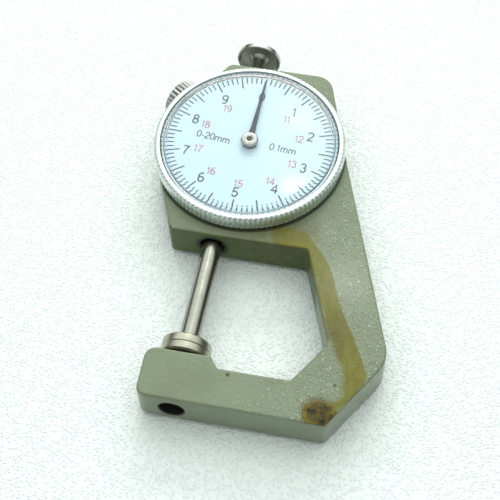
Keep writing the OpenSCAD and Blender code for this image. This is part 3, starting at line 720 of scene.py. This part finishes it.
# -------------------- casting
def casting_outline():
    corner_x = (HEAD_R - TOP_Y * sin(LOCK)) / cos(LOCK)
    arm = (ARM_X, -ARM_Y)
    tangent = degrees(acos(HEAD_R / hypot(*arm)))
    foot = degrees(atan2(arm[1], arm[0])) + 360 - tangent
    head = bow(0, 0, HEAD_R, HEAD_R, LOCK_DEG, foot, 60)
    # the outside from the lower end up the spine, and the throat from the arm down to the seat
    outside = [
        (-10.45, -END_Y, 2), (25.6, -END_Y, 1.2), (35.3, -43.3, 7), (20.6, 0.5, 20), (13.6, TOP_Y, 4),
        (corner_x, TOP_Y, 1.8),
    ]
    throat = [
        (*arm, 0.8), (16.05, -ARM_Y, 0.8), (23.3, -42.0, 1.6), (17.7, -50.75, 0.8), (3.7, -50.8, 1.0),
        (1.9, -SEAT_Y, 0.8), (-10.5, -SEAT_Y, 2.2),
    ]

    def run(first, points, last):
        corners = [first] + [p[:2] for p in points] + [last]
        out = []
        for i, point in enumerate(points):
            out += arc_corner(*corners[i:i + 3], point[2], 10)
        return out

    before = run(throat[-1][:2], outside, head[0])
    return before + head + run(head[-1], throat, outside[0][:2])


def make_casting():
    bm = bmesh.new()
    prism(bm, casting_outline(), Z0, Z1, 0.45, 0.55, 5)
    room = [(0, -1), (15, -1), (15, 8.2), (17.7, 8.2), (17.7, 11), (0, 11)]
    spindle_bore = [
        (0, -24), (4.85, -24), (2.45, -21.6), (2.45, -20.25), (3.1, -20.25), (3.1, 25), (0, 25),
    ]
    anvil_bore = [
        (0, -59.5), (3.1, -59.5), (2.4, -58.6), (2.4, -55.4), (1.6, -55.4), (1.6, -52.6),
        (1.91, -52.6), (1.91, -47), (0, -47),
    ]
    cuts = [
        drill(room, lift(0, 0, 0), 160),
        drill(spindle_bore, along_y(SX, 0)),
        rod(1.4, 11.6, along_y(SPRING_X, POST_Y - 1), 48),  # return spring's channel
        rod(0.51, 7.6, lift(SPRING_X, POST_Y, 0), 32),  # its post
        rod(1.55, 7, lock_frame(14), 64),  # lock screw
        drill(anvil_bore, along_y(SX, 0)),
        rod(SEAL_R, 4, lift(*SEAL, SEAL_FLOOR), 64),
    ]
    cuts += [rod(0.65, 4, lift(x, y, 5.6), 32) for x, y in round_axis(*PLATE_SCREWS)]
    cuts += [rod(0.85, 3.2, lift(x, y, 0), 32) for x, y in round_axis(*COVER_SCREWS)]
    put("c_frame", carve(bm, cuts), PAINT, "gauge_body", 32, "frame_casting")


# -------------------- back cover
def make_cover():
    bm = turned([
        (0, 0, 0), (18.4, 0, 0.35), (18.4, 1.0, 0.08), (14.9, 1.0, 0), (14.9, 1.3, 0.05),
        (14.0, 1.3, 0.05), (14.0, 1.0, 0), (0, 1.0, 0),
    ], 160)
    cuts = []
    for x, y in round_axis(*COVER_SCREWS):
        cuts.append(rod(0.9, 3, lift(x, y, -1), 40))
        cuts.append(rod(1.47, 0.62, lift(x, y, -0.02), 40, 0.88))
    put("rear_plate", carve(bm, cuts), COVER, "gauge_body", 35, "back_cover")


# -------------------- anvil and its screw
def make_anvil():
    bm = turned([
        (0, 0, 0), (1.9, 0, 0.15), (1.9, 4.0, 0), (2.4, 4.0, 0), (2.4, 4.3, 0), (4.5, 4.3, 0.12),
        (4.9, 4.62, 0.12), (4.9, 5.9, 0.1), (4.8, 6.05, 0), (0, 6.05, 0),
    ], 160)
    move(bm, along_y(SX, -52.5))
    bm = carve(bm, [rod(1.25, 4, along_y(SX, -53.6), 48)])
    put("anvil_disc", bm, DISC, "gauge_body", 35, "anvil")


def make_anvil_screw():
    bm = turned([
        (0, 0, 0), (1.95, 0, 0.18), (2.25, 0.22, 0.05), (2.25, 1.68, 0.05), (1.2, 1.68, 0),
        (1.2, 6.9, 0.15), (0, 7.0, 0),
    ], 96)
    move(bm, along_y(SX, -57.1))
    hexagon = drill([(0, 0), (1.0, 0), (1.0, 1.3), (0, 1.75)], along_y(SX, -57.4), 6)
    put("anvil_bolt", carve(bm, [hexagon]), BLACK, "gauge_body", 35, "anvil_screw")


# -------------------- spindle group
def rack_spaces():
    """The 36 spaces between the teeth on the spindle's right side, for cutting."""
    bm = bmesh.new()
    pitch, lowest = 0.625, -21.0
    for i in range(36):
        y = lowest + pitch * i
        rows = []
        for z in (SZ - 2.2, SZ + 2.2):
            corners = ((2.2, -0.25), (2.2, 0.25), (1.58, 0.11), (1.58, -0.11))
            rows.append([bm.verts.new((SX + px, y + py, z)) for px, py in corners])
        a, b = rows
        bm.faces.new(list(reversed(a)))
        bm.faces.new(b)
        for k in range(4):
            bm.faces.new((a[k], a[(k + 1) % 4], b[(k + 1) % 4], b[k]))
    return bm


def make_spindle():
    bm = turned([
        (0, -45.7, 0), (1.2, -45.7, 0), (1.2, -44.6, 0), (2.0, -44.6, 0.06), (2.0, 23.2, 0.2),
        (1.2, 23.4, 0), (1.2, BUTTON_Y + 1, 0.1), (0, BUTTON_Y + 1, 0),
    ], 96)
    move(bm, along_y(SX, 0))
    bm = carve(bm, [rack_spaces(), rod(0.61, 1.8, along_x(SX - 3, PIN_Y), 40)])
    put("spindle_rod", bm, GROUND, "spindle_group", 35, "spindle")


def make_contact_disc():
    bm = turned([
        (1.21, 0.02, 0), (4.75, 0.02, 0), (4.9, 0.17, 0.06), (4.9, 1.5, 0.14), (4.55, 1.85, 0.14),
        (2.6, 1.85, 0.05), (2.4, 1.8, 0.05), (1.21, 1.8, 0),
    ], 160)
    move(bm, along_y(SX, -46.45))
    add_to(bm, rod(1.22, 0.75, along_y(SX, -46.43), 64))
    put("contact_face", bm, DISC, "spindle_group", 35, "contact_disc")


def make_button():
    bm = turned([
        (1.21, 0, 0), (1.7, 0, 0.08), (1.85, 0.15, 0.05), (2.3, 0.75, 0.25), (4.1, 0.75, 0.25),
        (4.45, 0.25, 0.1), (4.72, 0.15, 0.08), (4.9, 0.34, 0.15), (4.9, 1.3, 0.25), (4.6, 1.68, 0.35),
        (0, 1.8, 0), (0, 1.02, 0), (1.21, 1.02, 0),
    ], 160, 6)
    move(bm, along_y(SX, BUTTON_Y))
    put("thumb_button", bm, BUTTON, "spindle_group", 40, "lift_button")


# -------------------- bezel, dial and crystal
def make_bezel():
    ridges, per_ridge = 120, 10
    root, foot, deep = 19.45, 10.02, 0.26

    def scallop(a, r, h):
        # the ridges start over the foot and run out into the rounded shoulder
        if r < root or h > 12.99:
            return r
        w = min(max((h - foot) / 0.10, 0), 1)
        u = (a * ridges / TAU) % 1.0
        return r - min(deep * w * (0.5 + 0.5 * cos(TAU * u)) ** 1.4, r - root)

    foot_and_side = [
        (19.14, 9.6), (19.2, 9.66), (19.2, 9.95), (19.62, 10.01), (19.9, 10.04), (19.98, 10.12),
        (20.0, 10.22), (20.0, 10.9), (20.0, 11.6), (20.0, 12.2),
    ]
    shoulder_and_lip = [
        (19.99, 12.34), (19.95, 12.48), (19.89, 12.60), (19.81, 12.72), (19.72, 12.83), (19.62, 12.92),
        (19.5, 12.98), (19.38, 13.02), (19.2, 13.07), (19.0, 13.10), (18.86, 13.10), (18.76, 13.07),
        (18.70, 13.01), (18.68, 12.92),
    ]
    seats = [
        (18.68, 12.5), (18.42, 12.5), (18.42, 12.02), (18.12, 12.02), (18.12, 11.6), (17.75, 11.6),
        (17.75, 10.57), (18.02, 10.57), (18.02, 9.83), (17.75, 9.83), (17.75, 9.6),
    ]
    bm = bmesh.new()
    revolve(bm, foot_and_side + shoulder_and_lip + seats, ridges * per_ridge, scallop)
    put("bezel_ring", bm, NICKEL, "bezel_group", 40, "bezel", weighted=False)


def make_crystal():
    """A dome of even thickness with a bevelled rim."""
    rise = 0.62
    outer_r, outer_h = 17.22, 14.01
    inner_r, inner_h = 16.9, 13.26
    between = (3, 5.5, 8, 10.5, 13, 15)
    prof = [(17.62, 12.06), (18.39, 12.06), (18.39, 13.02), (18.32, 13.10)]
    prof += [(18.32 - 0.96 * t, 13.10 + 0.84 * t) for t in (0.33, 0.66, 0.94)]
    prof += [(17.32, 13.985), (outer_r, outer_h)]
    prof += [(r, outer_h + rise * (1 - (r / outer_r) ** 2)) for r in (16.4, *reversed(between))]
    prof += [(0, 14.63), (0, 13.88)]
    prof += [(r, inner_h + rise * (1 - (r / inner_r) ** 2)) for r in (*between, 16.2)]
    prof += [(inner_r, inner_h), (17.2, 13.14), (17.5, 12.93), (17.62, 12.72)]
    bm = bmesh.new()
    revolve(bm, prof, 192)
    put("window", bm, ACRYLIC, "bezel_group", 30, "crystal", weighted=False)


def polar(r, deg_clockwise):
    """A point of the dial, counted from its zero."""
    a = pi / 2 + ZERO - radians(deg_clockwise)
    return r * cos(a), r * sin(a)


def slab(bm, corners):
    low = [bm.verts.new((x, y, PRINT_LOW)) for x, y in corners]
    top = [bm.verts.new((x, y, PRINT_TOP)) for x, y in corners]
    n = len(corners)
    bm.faces.new(list(reversed(low)))
    bm.faces.new(top)
    for i in range(n):
        bm.faces.new((low[i], low[(i + 1) % n], top[(i + 1) % n], top[i]))


# each sign is its width and its strokes, in a box one unit high;
# a stroke that ends where it began is a loop
SIGNS = {
    "0": (0.60, [bow(0.30, 0.5, 0.22, 0.45, 0, 360, 30)]),
    "1": (0.44, [[(0.05, 0.74), (0.17, 0.78), (0.25, 0.95), (0.25, 0.02)]]),
    "2": (0.60, [
        bow(0.30, 0.70, 0.22, 0.25, 170, -32) + [(0.24, 0.30), (0.09, 0.12), (0.08, 0.05), (0.54, 0.05)],
    ]),
    "3": (0.60, [bow(0.29, 0.73, 0.20, 0.22, 165, -75), bow(0.29, 0.29, 0.23, 0.24, 88, -165)]),
    "4": (0.60, [[(0.42, 0.02), (0.42, 0.93), (0.05, 0.30), (0.57, 0.30)]]),
    "5": (0.60, [[(0.51, 0.94), (0.16, 0.94), (0.10, 0.50)] + bow(0.29, 0.33, 0.23, 0.28, 135, -160)]),
    "6": (0.60, [bow(0.34, 0.50, 0.27, 0.45, 62, 180), bow(0.30, 0.31, 0.23, 0.26, 180, -180, 24)]),
    "7": (0.60, [[(0.06, 0.93), (0.53, 0.93), (0.38, 0.66), (0.27, 0.36), (0.22, 0.02)]]),
    "8": (0.60, [bow(0.30, 0.74, 0.19, 0.21, 0, 360, 24), bow(0.30, 0.28, 0.23, 0.25, 0, 360, 24)]),
    "9": (0.60, [bow(0.26, 0.50, 0.27, 0.45, -118, 0), bow(0.30, 0.69, 0.23, 0.26, 0, 360, 24)]),
    "m": (0.92, [
        [(0.09, 0.02), (0.09, 0.68)],
        *[bow(x, 0.48, 0.175, 0.17, 165, 0, 8) + [(x + 0.175, 0.02)] for x in (0.265, 0.615)],
    ]),
    "-": (0.38, [[(0.05, 0.36), (0.32, 0.36)]]),
    ".": (0.28, [[(0.12, 0.00), (0.12, 0.12)]]),
}


def inked(bm, points, width, place_point):
    """One stroke of even width, as a thin solid with mitred bends."""
    loop = dist(points[0], points[-1]) < 1e-6
    pts = [Vector(place_point(*p)) for p in (points[:-1] if loop else points)]
    n = len(pts)
    left, right = [], []
    for i, p in enumerate(pts):
        before = p - pts[i - 1] if loop or i else pts[1] - p
        after = pts[(i + 1) % n] - p if loop or i < n - 1 else p - pts[i - 1]
        u, v = before.normalized(), after.normalized()
        across = Vector((-u.y - v.y, u.x + v.x))
        reach = width / 2 * min(2 / max(across.length, 1e-3), 2.2)
        across = across.normalized() * reach
        left.append(p + across)
        right.append(p - across)
    low = [[bm.verts.new((q.x, q.y, PRINT_LOW)) for q in side] for side in (left, right)]
    top = [[bm.verts.new((q.x, q.y, PRINT_TOP)) for q in side] for side in (left, right)]
    for i in range(n if loop else n - 1):
        j = (i + 1) % n
        bm.faces.new((top[0][i], top[0][j], top[1][j], top[1][i]))
        bm.faces.new((low[0][i], low[1][i], low[1][j], low[0][j]))
        for k in (0, 1):
            bm.faces.new((low[k][i], low[k][j], top[k][j], top[k][i]))
    if not loop:
        for i in (0, n - 1):
            bm.faces.new((low[0][i], top[0][i], top[1][i], low[1][i]))


def words(items, name, mat):
    """Flat lettering from (text, x, y, height, turn, width, stroke) rows, as one mesh."""
    bm = bmesh.new()
    for text, x, y, size, turn, width, stroke in items:
        total = sum(SIGNS[c][0] for c in text) * size * width
        c, s = cos(radians(turn)), sin(radians(turn))
        pen = -total / 2
        for sign in text:
            advance, strokes = SIGNS[sign]

            def place_point(px, py, pen=pen):
                u, v = pen + px * size * width, (py - 0.5) * size
                return x + u * c - v * s, y + u * s + v * c

            for points in strokes:
                inked(bm, points, stroke, place_point)
            pen += advance * size * width
    put(name, bm, mat, "bezel_group", 40, weighted=False)


def make_ticks():
    """100 lines, each fifth one longer, and a short one outside each. w is half a line's width."""
    bm = bmesh.new()
    for i in range(100):
        line = (15.85, 17.45, 0.13) if i % 5 else (14.6, 17.45, 0.15)
        for r0, r1, w in (line, (17.85, 18.08, 0.17)):
            a, b = Vector(polar(r0, 3.6 * i)), Vector(polar(r1, 3.6 * i))
            d = (b - a).normalized()
            s = Vector((-d.y, d.x)) * w
            slab(bm, [a + s, a - s, b - s, b + s])
    put("dial_ticks", bm, INK, "bezel_group", 40, weighted=False)


# the print is not quite even: each number's own shift from its ring
SHIFT = {
    "0": (-0.05, -0.50), "1": (0.0, -0.65), "2": (0.0, 0.10), "3": (0.0, -0.15), "4": (0.0, 0.0),
    "5": (-0.15, 0.0), "6": (-0.25, -0.25), "7": (-0.40, -0.55), "8": (-0.25, -0.15),
    "9": (-0.10, -0.25), "11": (0.20, -1.0), "12": (-0.10, -0.25), "13": (-0.25, -0.30),
    "14": (0.10, -0.15), "15": (0.0, -0.10), "16": (0.0, -0.15), "17": (-0.15, -0.35),
    "18": (-0.10, -0.40), "19": (-0.40, -0.65),
}


def make_dial():
    bm = turned([(1.6, 11.6, 0), (18.1, 11.6, 0), (18.1, 12.0, 0.04), (1.6, 12.0, 0.04)], 192)
    put("dial_face", bm, ENAMEL, "bezel_group", 35, "dial_plate")
    make_ticks()
    turn = degrees(ZERO)

    def number(i, radius, height, width, stroke):
        x, y = polar(radius, 36 * i)
        dx, dy = SHIFT[str(i)]
        return str(i), x + dx, y + dy, height, turn, width, stroke

    black = [number(i, 12.8, 2.35, 1.0, 0.31) for i in range(10)]
    black.append(("0-20mm", -7.72, 0.15, 1.75, turn - 5, 1.05, 0.21))
    black.append(("0.1mm", 7.1, -0.40, 1.75, turn - 3, 1.05, 0.21))
    red = [number(i, 10.5, 1.85, 0.98, 0.22) for i in range(11, 20)]
    words(black, "dial_numbers", INK)
    words(red, "dial_numbers_red", RED)


# -------------------- pointer
def make_pointer():
    bm = bmesh.new()
    half = [
        (1.2, 0.5), (1.15, 1.05), (0.80, 1.9), (0.60, 2.7), (0.50, 4.0), (0.34, 10.0), (0.19, 15.9),
        (0.10, 16.3),
    ]
    outline = half + [(0.0, 16.4)] + [(-x, y) for x, y in reversed(half)]
    prism(bm, outline + bow(0, 0, 1.5, 1.5, 160, 380, 30), 12.5, 12.75, 0.0, 0.05, 2)
    bm = carve(bm, [rod(0.92, 2, lift(0, 0, 11.5), 64)])
    move(bm, Matrix.Rotation(ZERO, 4, "Z"))
    put("hand", bm, HAND, "pointer_group", 30, "pointer")


def make_hub():
    bm = turned([
        (0.61, 12.2, 0), (0.9, 12.2, 0), (0.9, 12.76, 0), (1.70, 12.76, 0.06), (1.82, 12.9, 0.08),
        (1.80, 13.2, 0.1), (1.55, 13.42, 0.12), (1.1, 13.46, 0.1), (0.61, 13.44, 0.05),
    ], 96, 5)
    put("hand_bush", bm, HUB, "pointer_group", 40, "pointer_hub")


# -------------------- lock screw
def make_knob():
    ridges, per_ridge = 26, 12
    core, deep = 3.95, 0.36

    def knurl(a, r, h):
        if r < core:
            return r
        w = min(max((h - 0.25) / 0.2, 0), 1) * min(max((3.35 - h) / 0.25, 0), 1)
        u = (a * ridges / TAU) % 1.0
        return r - deep * w * (1 - sin(pi * u) ** 0.8)

    prof = [
        (0, 0), (3.7, 0), (4.02, 0.06), (4.12, 0.2), (4.25, 0.27), (4.38, 0.42), (4.4, 0.6),
        (4.4, 1.8), (4.4, 3.0), (4.36, 3.2), (4.18, 3.36), (4.06, 3.40), (4.00, 3.5), (3.8, 3.59),
        (3.6, 3.6), (1.6, 3.6), (1.4, 3.5), (0, 3.5),
    ]
    bm = bmesh.new()
    revolve(bm, prof, ridges * per_ridge, knurl)
    stem = bmesh.new()
    revolve(stem, [(0, -5.3), (1.3, -5.3), (1.5, -5.1), (1.5, 0.05), (0, 0.05)], 64)
    add_to(bm, stem)
    move(bm, lock_frame(20.7))
    put("lock_knob", bm, KNOB, "lock_screw_group", 40, "bezel_lock_screw", weighted=False)


# -------------------- resin in the corner recess
# casting's edges that stop the resin: a normal, and the edge's distance from the dial's axis
EDGES = ((0, -1, END_Y + 0.05), (0.848, -0.530, 52.75))


def blob_reach(d):
    """How far the resin spreads from its middle along d."""
    spread = 1 / hypot(d.x / BLOB_HALF[0], d.y / BLOB_HALF[1])
    spread += 0.24 * noise.noise(d * 1.3 + Vector((3, 7, 1)))
    spread += 0.12 * noise.noise(d * 4 + Vector((1, 2, 9)))
    for nx, ny, c in EDGES:
        along = nx * d.x + ny * d.y
        if along > 1e-3:
            spread = min(spread, (c - nx * BLOB[0] - ny * BLOB[1]) / along)
    return spread


def blob_height(p, f):
    """Height of the lumpy top at p, where f runs from 0 in the middle to 1 at the rim."""
    if f == 1:
        return Z1 + 0.005
    lump = 0.20 * noise.noise(p * 0.9) + 0.13 * noise.noise(p * 2.1) + 0.05 * noise.noise(p * 4.6)
    h = 9.62 - 0.10 * f ** 6 - 0.12 * exp(-((f - 0.80) / 0.12) ** 2) + 0.75 * lump * (1 - f ** 5)
    return max(h, Z1 + 0.04)


def make_seal():
    bm = bmesh.new()
    seg, steps = 72, 12
    turns = [TAU * i / seg for i in range(seg)]
    rings = []
    for k in range(steps + 1):
        f = k / steps
        ring = []
        for a in turns[:seg if k else 1]:
            d = Vector((cos(a), sin(a), 0))
            r = blob_reach(d) * f
            p = Vector((BLOB[0] + r * d.x, BLOB[1] + r * d.y, 0))
            ring.append(bm.verts.new((p.x, p.y, blob_height(p, f))))
        rings.append(ring)
    # under the rim it goes back to the recess's wall, and down to the floor
    rings.append([bm.verts.new((v.co.x, v.co.y, Z1 - 0.01)) for v in rings[-1]])
    x, y = SEAL
    r = SEAL_R - 0.07
    wall = [(x + r * cos(a), y + r * sin(a)) for a in turns]
    rings += [[bm.verts.new((*p, h)) for p in wall] for h in (Z1 - 0.2, SEAL_FLOOR + 0.03)]
    for p, q in zip(rings, rings[1:]):
        join(bm, p, q)
    bm.faces.new(rings[-1])
    put("corner_resin", bm, RESIN, "gauge_body", 60, "corner_seal", weighted=False)


# -------------------- return spring
def tube(bm, path, r, sides=10):
    pts = [Vector(p) for p in path]
    n = len(pts)
    turns = [TAU * k / sides for k in range(sides)]
    u = Vector((0, 0, 1))
    rings = []
    for i, p in enumerate(pts):
        w = (pts[min(i + 1, n - 1)] - pts[max(i - 1, 0)]).normalized()
        u = (u - w * u.dot(w)).normalized()
        v = w.cross(u)
        rings.append([bm.verts.new(p + r * (u * cos(a) + v * sin(a))) for a in turns])
    for p, q in zip(rings, rings[1:]):
        join(bm, p, q)
    bm.faces.new(list(reversed(rings[0])))
    bm.faces.new(rings[-1])


def make_spring():
    """A coil between two hooks: one round the post, one round the guide pin."""
    x, z, post, pin, hook, rad = SPRING_X, SZ, POST_Y, PIN_Y, 0.82, 0.95
    y0, y1, turns, per_turn = post + hook + 0.3, pin - hook - 0.3, 13, 24
    path = []
    for a in map(radians, range(-210, 75, 12)):
        path.append((x + hook * cos(a), post + hook * sin(a), z))
    for i in range(turns * per_turn + 1):
        t = i / (turns * per_turn)
        a = TAU * turns * t
        path.append((x + rad * cos(a), y0 + (y1 - y0) * t, z + rad * sin(a)))
    for a in map(radians, range(-70, 215, 12)):
        path.append((x, pin + hook * sin(a), z + hook * cos(a)))
    bm = bmesh.new()
    tube(bm, path, 0.15)
    ob = put("pull_spring", bm, STEEL, smooth=60, weighted=False)
    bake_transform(ob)
    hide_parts("return_spring")


for make in (
    make_casting, make_cover, make_anvil, make_anvil_screw, make_spindle, make_contact_disc,
    make_button, make_bezel, make_crystal, make_dial, make_pointer, make_hub, make_knob, make_seal,
    make_spring,
):
    make()


# -------------------- finish for the CAD nodes that stay
KEPT = (
    (STEEL, (
        "back_cover_screws", "bridge_pillars", "guide_rail", "spring_post", "hairspring_stud",
        "bezel_retaining_wire", "guide_pin", "takeup_arbor",
    )),
    (BRASS, (
        "lower_bush", "upper_bush", "movement_plate", "lower_bridge", "takeup_wheel",
        "hairspring_collet",
    )),
    (BLUED, ("movement_plate_screws", "bridge_screws", "guide_rail_screws", "hairspring")),
    (ARBOR, ("center_arbor",)),
)
for mat, names in KEPT:
    for name in names:
        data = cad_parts[name].data
        data.materials.clear()
        data.materials.append(mat)
        data.shade_smooth()
        data.set_sharp_from_angle(angle=radians(30))


# -------------------- floor, light and camera
def make_floor():
    bm = bmesh.new()
    bmesh.ops.create_grid(bm, x_segments=1, y_segments=1, size=1.5)
    ob = as_object("floor", bm)
    m = Nodes("pale_floor")
    grain = m.cells(1.7, smooth=0.3)
    fine = m.noise(2.2, detail=5, rough=0.65)
    h = m.plus(m.times(m.ramp(grain, 0.1, 0.6), -0.18), m.times(fine, 0.11))
    colour = m.mix(m.ramp(fine, 0.36, 0.64), (0.905, 0.972, 0.945), (0.930, 0.988, 0.965))
    ob.data.materials.append(m.shade(
        Base_Color=colour, Roughness=0.42, Normal=m.bump(h, strength=0.8), Specular_IOR_Level=0.6,
    ))


make_floor()


def make_sky():
    """Dark near the horizon and bright overhead, most of all behind and to the right."""
    world = bpy.data.worlds.new("soft")
    m = Nodes(world, "OutputWorld")
    sky = m.add("TexCoord").outputs["Generated"]
    above = m.ramp(m.xyz(sky)[2], 0.22, 0.66, 0.12, 1.0)
    behind = m.vector("DOT_PRODUCT", sky, (-0.05, 0.62, 0.78)).outputs["Value"]
    behind = m.ramp(behind, 0.1, 0.95, 0.60, 1.56, "LINEAR")
    # a soft patch that the right of the crystal mirrors
    patch = m.vector("DOT_PRODUCT", sky, (0.07, 0.57, 0.82)).outputs["Value"]
    patch = m.ramp(patch, 0.976, 1.0, 0.0, 0.7)
    strength = m.plus(m.times(above, behind), patch)
    glow = m.add("Background", {0: (0.955, 1.0, 0.985), 1: strength})
    m.feed(m.out.inputs[0], glow.outputs[0])
    bpy.context.scene.world = world


def area_light(name, pos, target, size, power, colour):
    d = bpy.data.lights.new(name, "AREA")
    d.shape = "RECTANGLE"
    d.size, d.size_y = size
    d.energy = power
    d.color = colour
    o = bpy.data.objects.new(name, d)
    o.location = pos
    o.rotation_euler = (Vector(target) - Vector(pos)).to_track_quat("-Z", "Y").to_euler()
    bpy.context.scene.collection.objects.link(o)


make_sky()
area_light("key", (-0.04, 0.56, 0.36), (0.0, -0.02, 0.0), (0.55, 0.16), 1.68, (1.0, 1.0, 0.99))
area_light(
    "window", (0.0066, 0.285, 0.536), (0.010, -0.011, 0.014), (0.034, 0.023), 0.024, (0.98, 1.0, 1.0),
)


def make_camera():
    eye, aim = Vector((32.85, -147.60, 212.13)) * MM, Vector((3.61, -18.97, 1.0)) * MM
    d = (aim - eye).normalized()
    right = d.cross(Vector((0, 0, 1))).normalized()
    up = right.cross(d)
    roll = radians(-1.964)
    r = cos(roll) * right + sin(roll) * up
    u = -sin(roll) * right + cos(roll) * up
    cam = bpy.data.cameras.new("camera")
    cam.lens, cam.sensor_width = 86.3, 36.0
    cam.clip_start, cam.clip_end = 0.01, 10
    ob = bpy.data.objects.new("camera", cam)
    ob.matrix_world = Matrix.Translation(eye) @ Matrix((r, u, -d)).transposed().to_4x4()
    bpy.context.scene.collection.objects.link(ob)
    bpy.context.scene.camera = ob


make_camera()
bpy.context.scene.view_settings.view_transform = "Standard"
bpy.context.scene.view_settings.look = "None"
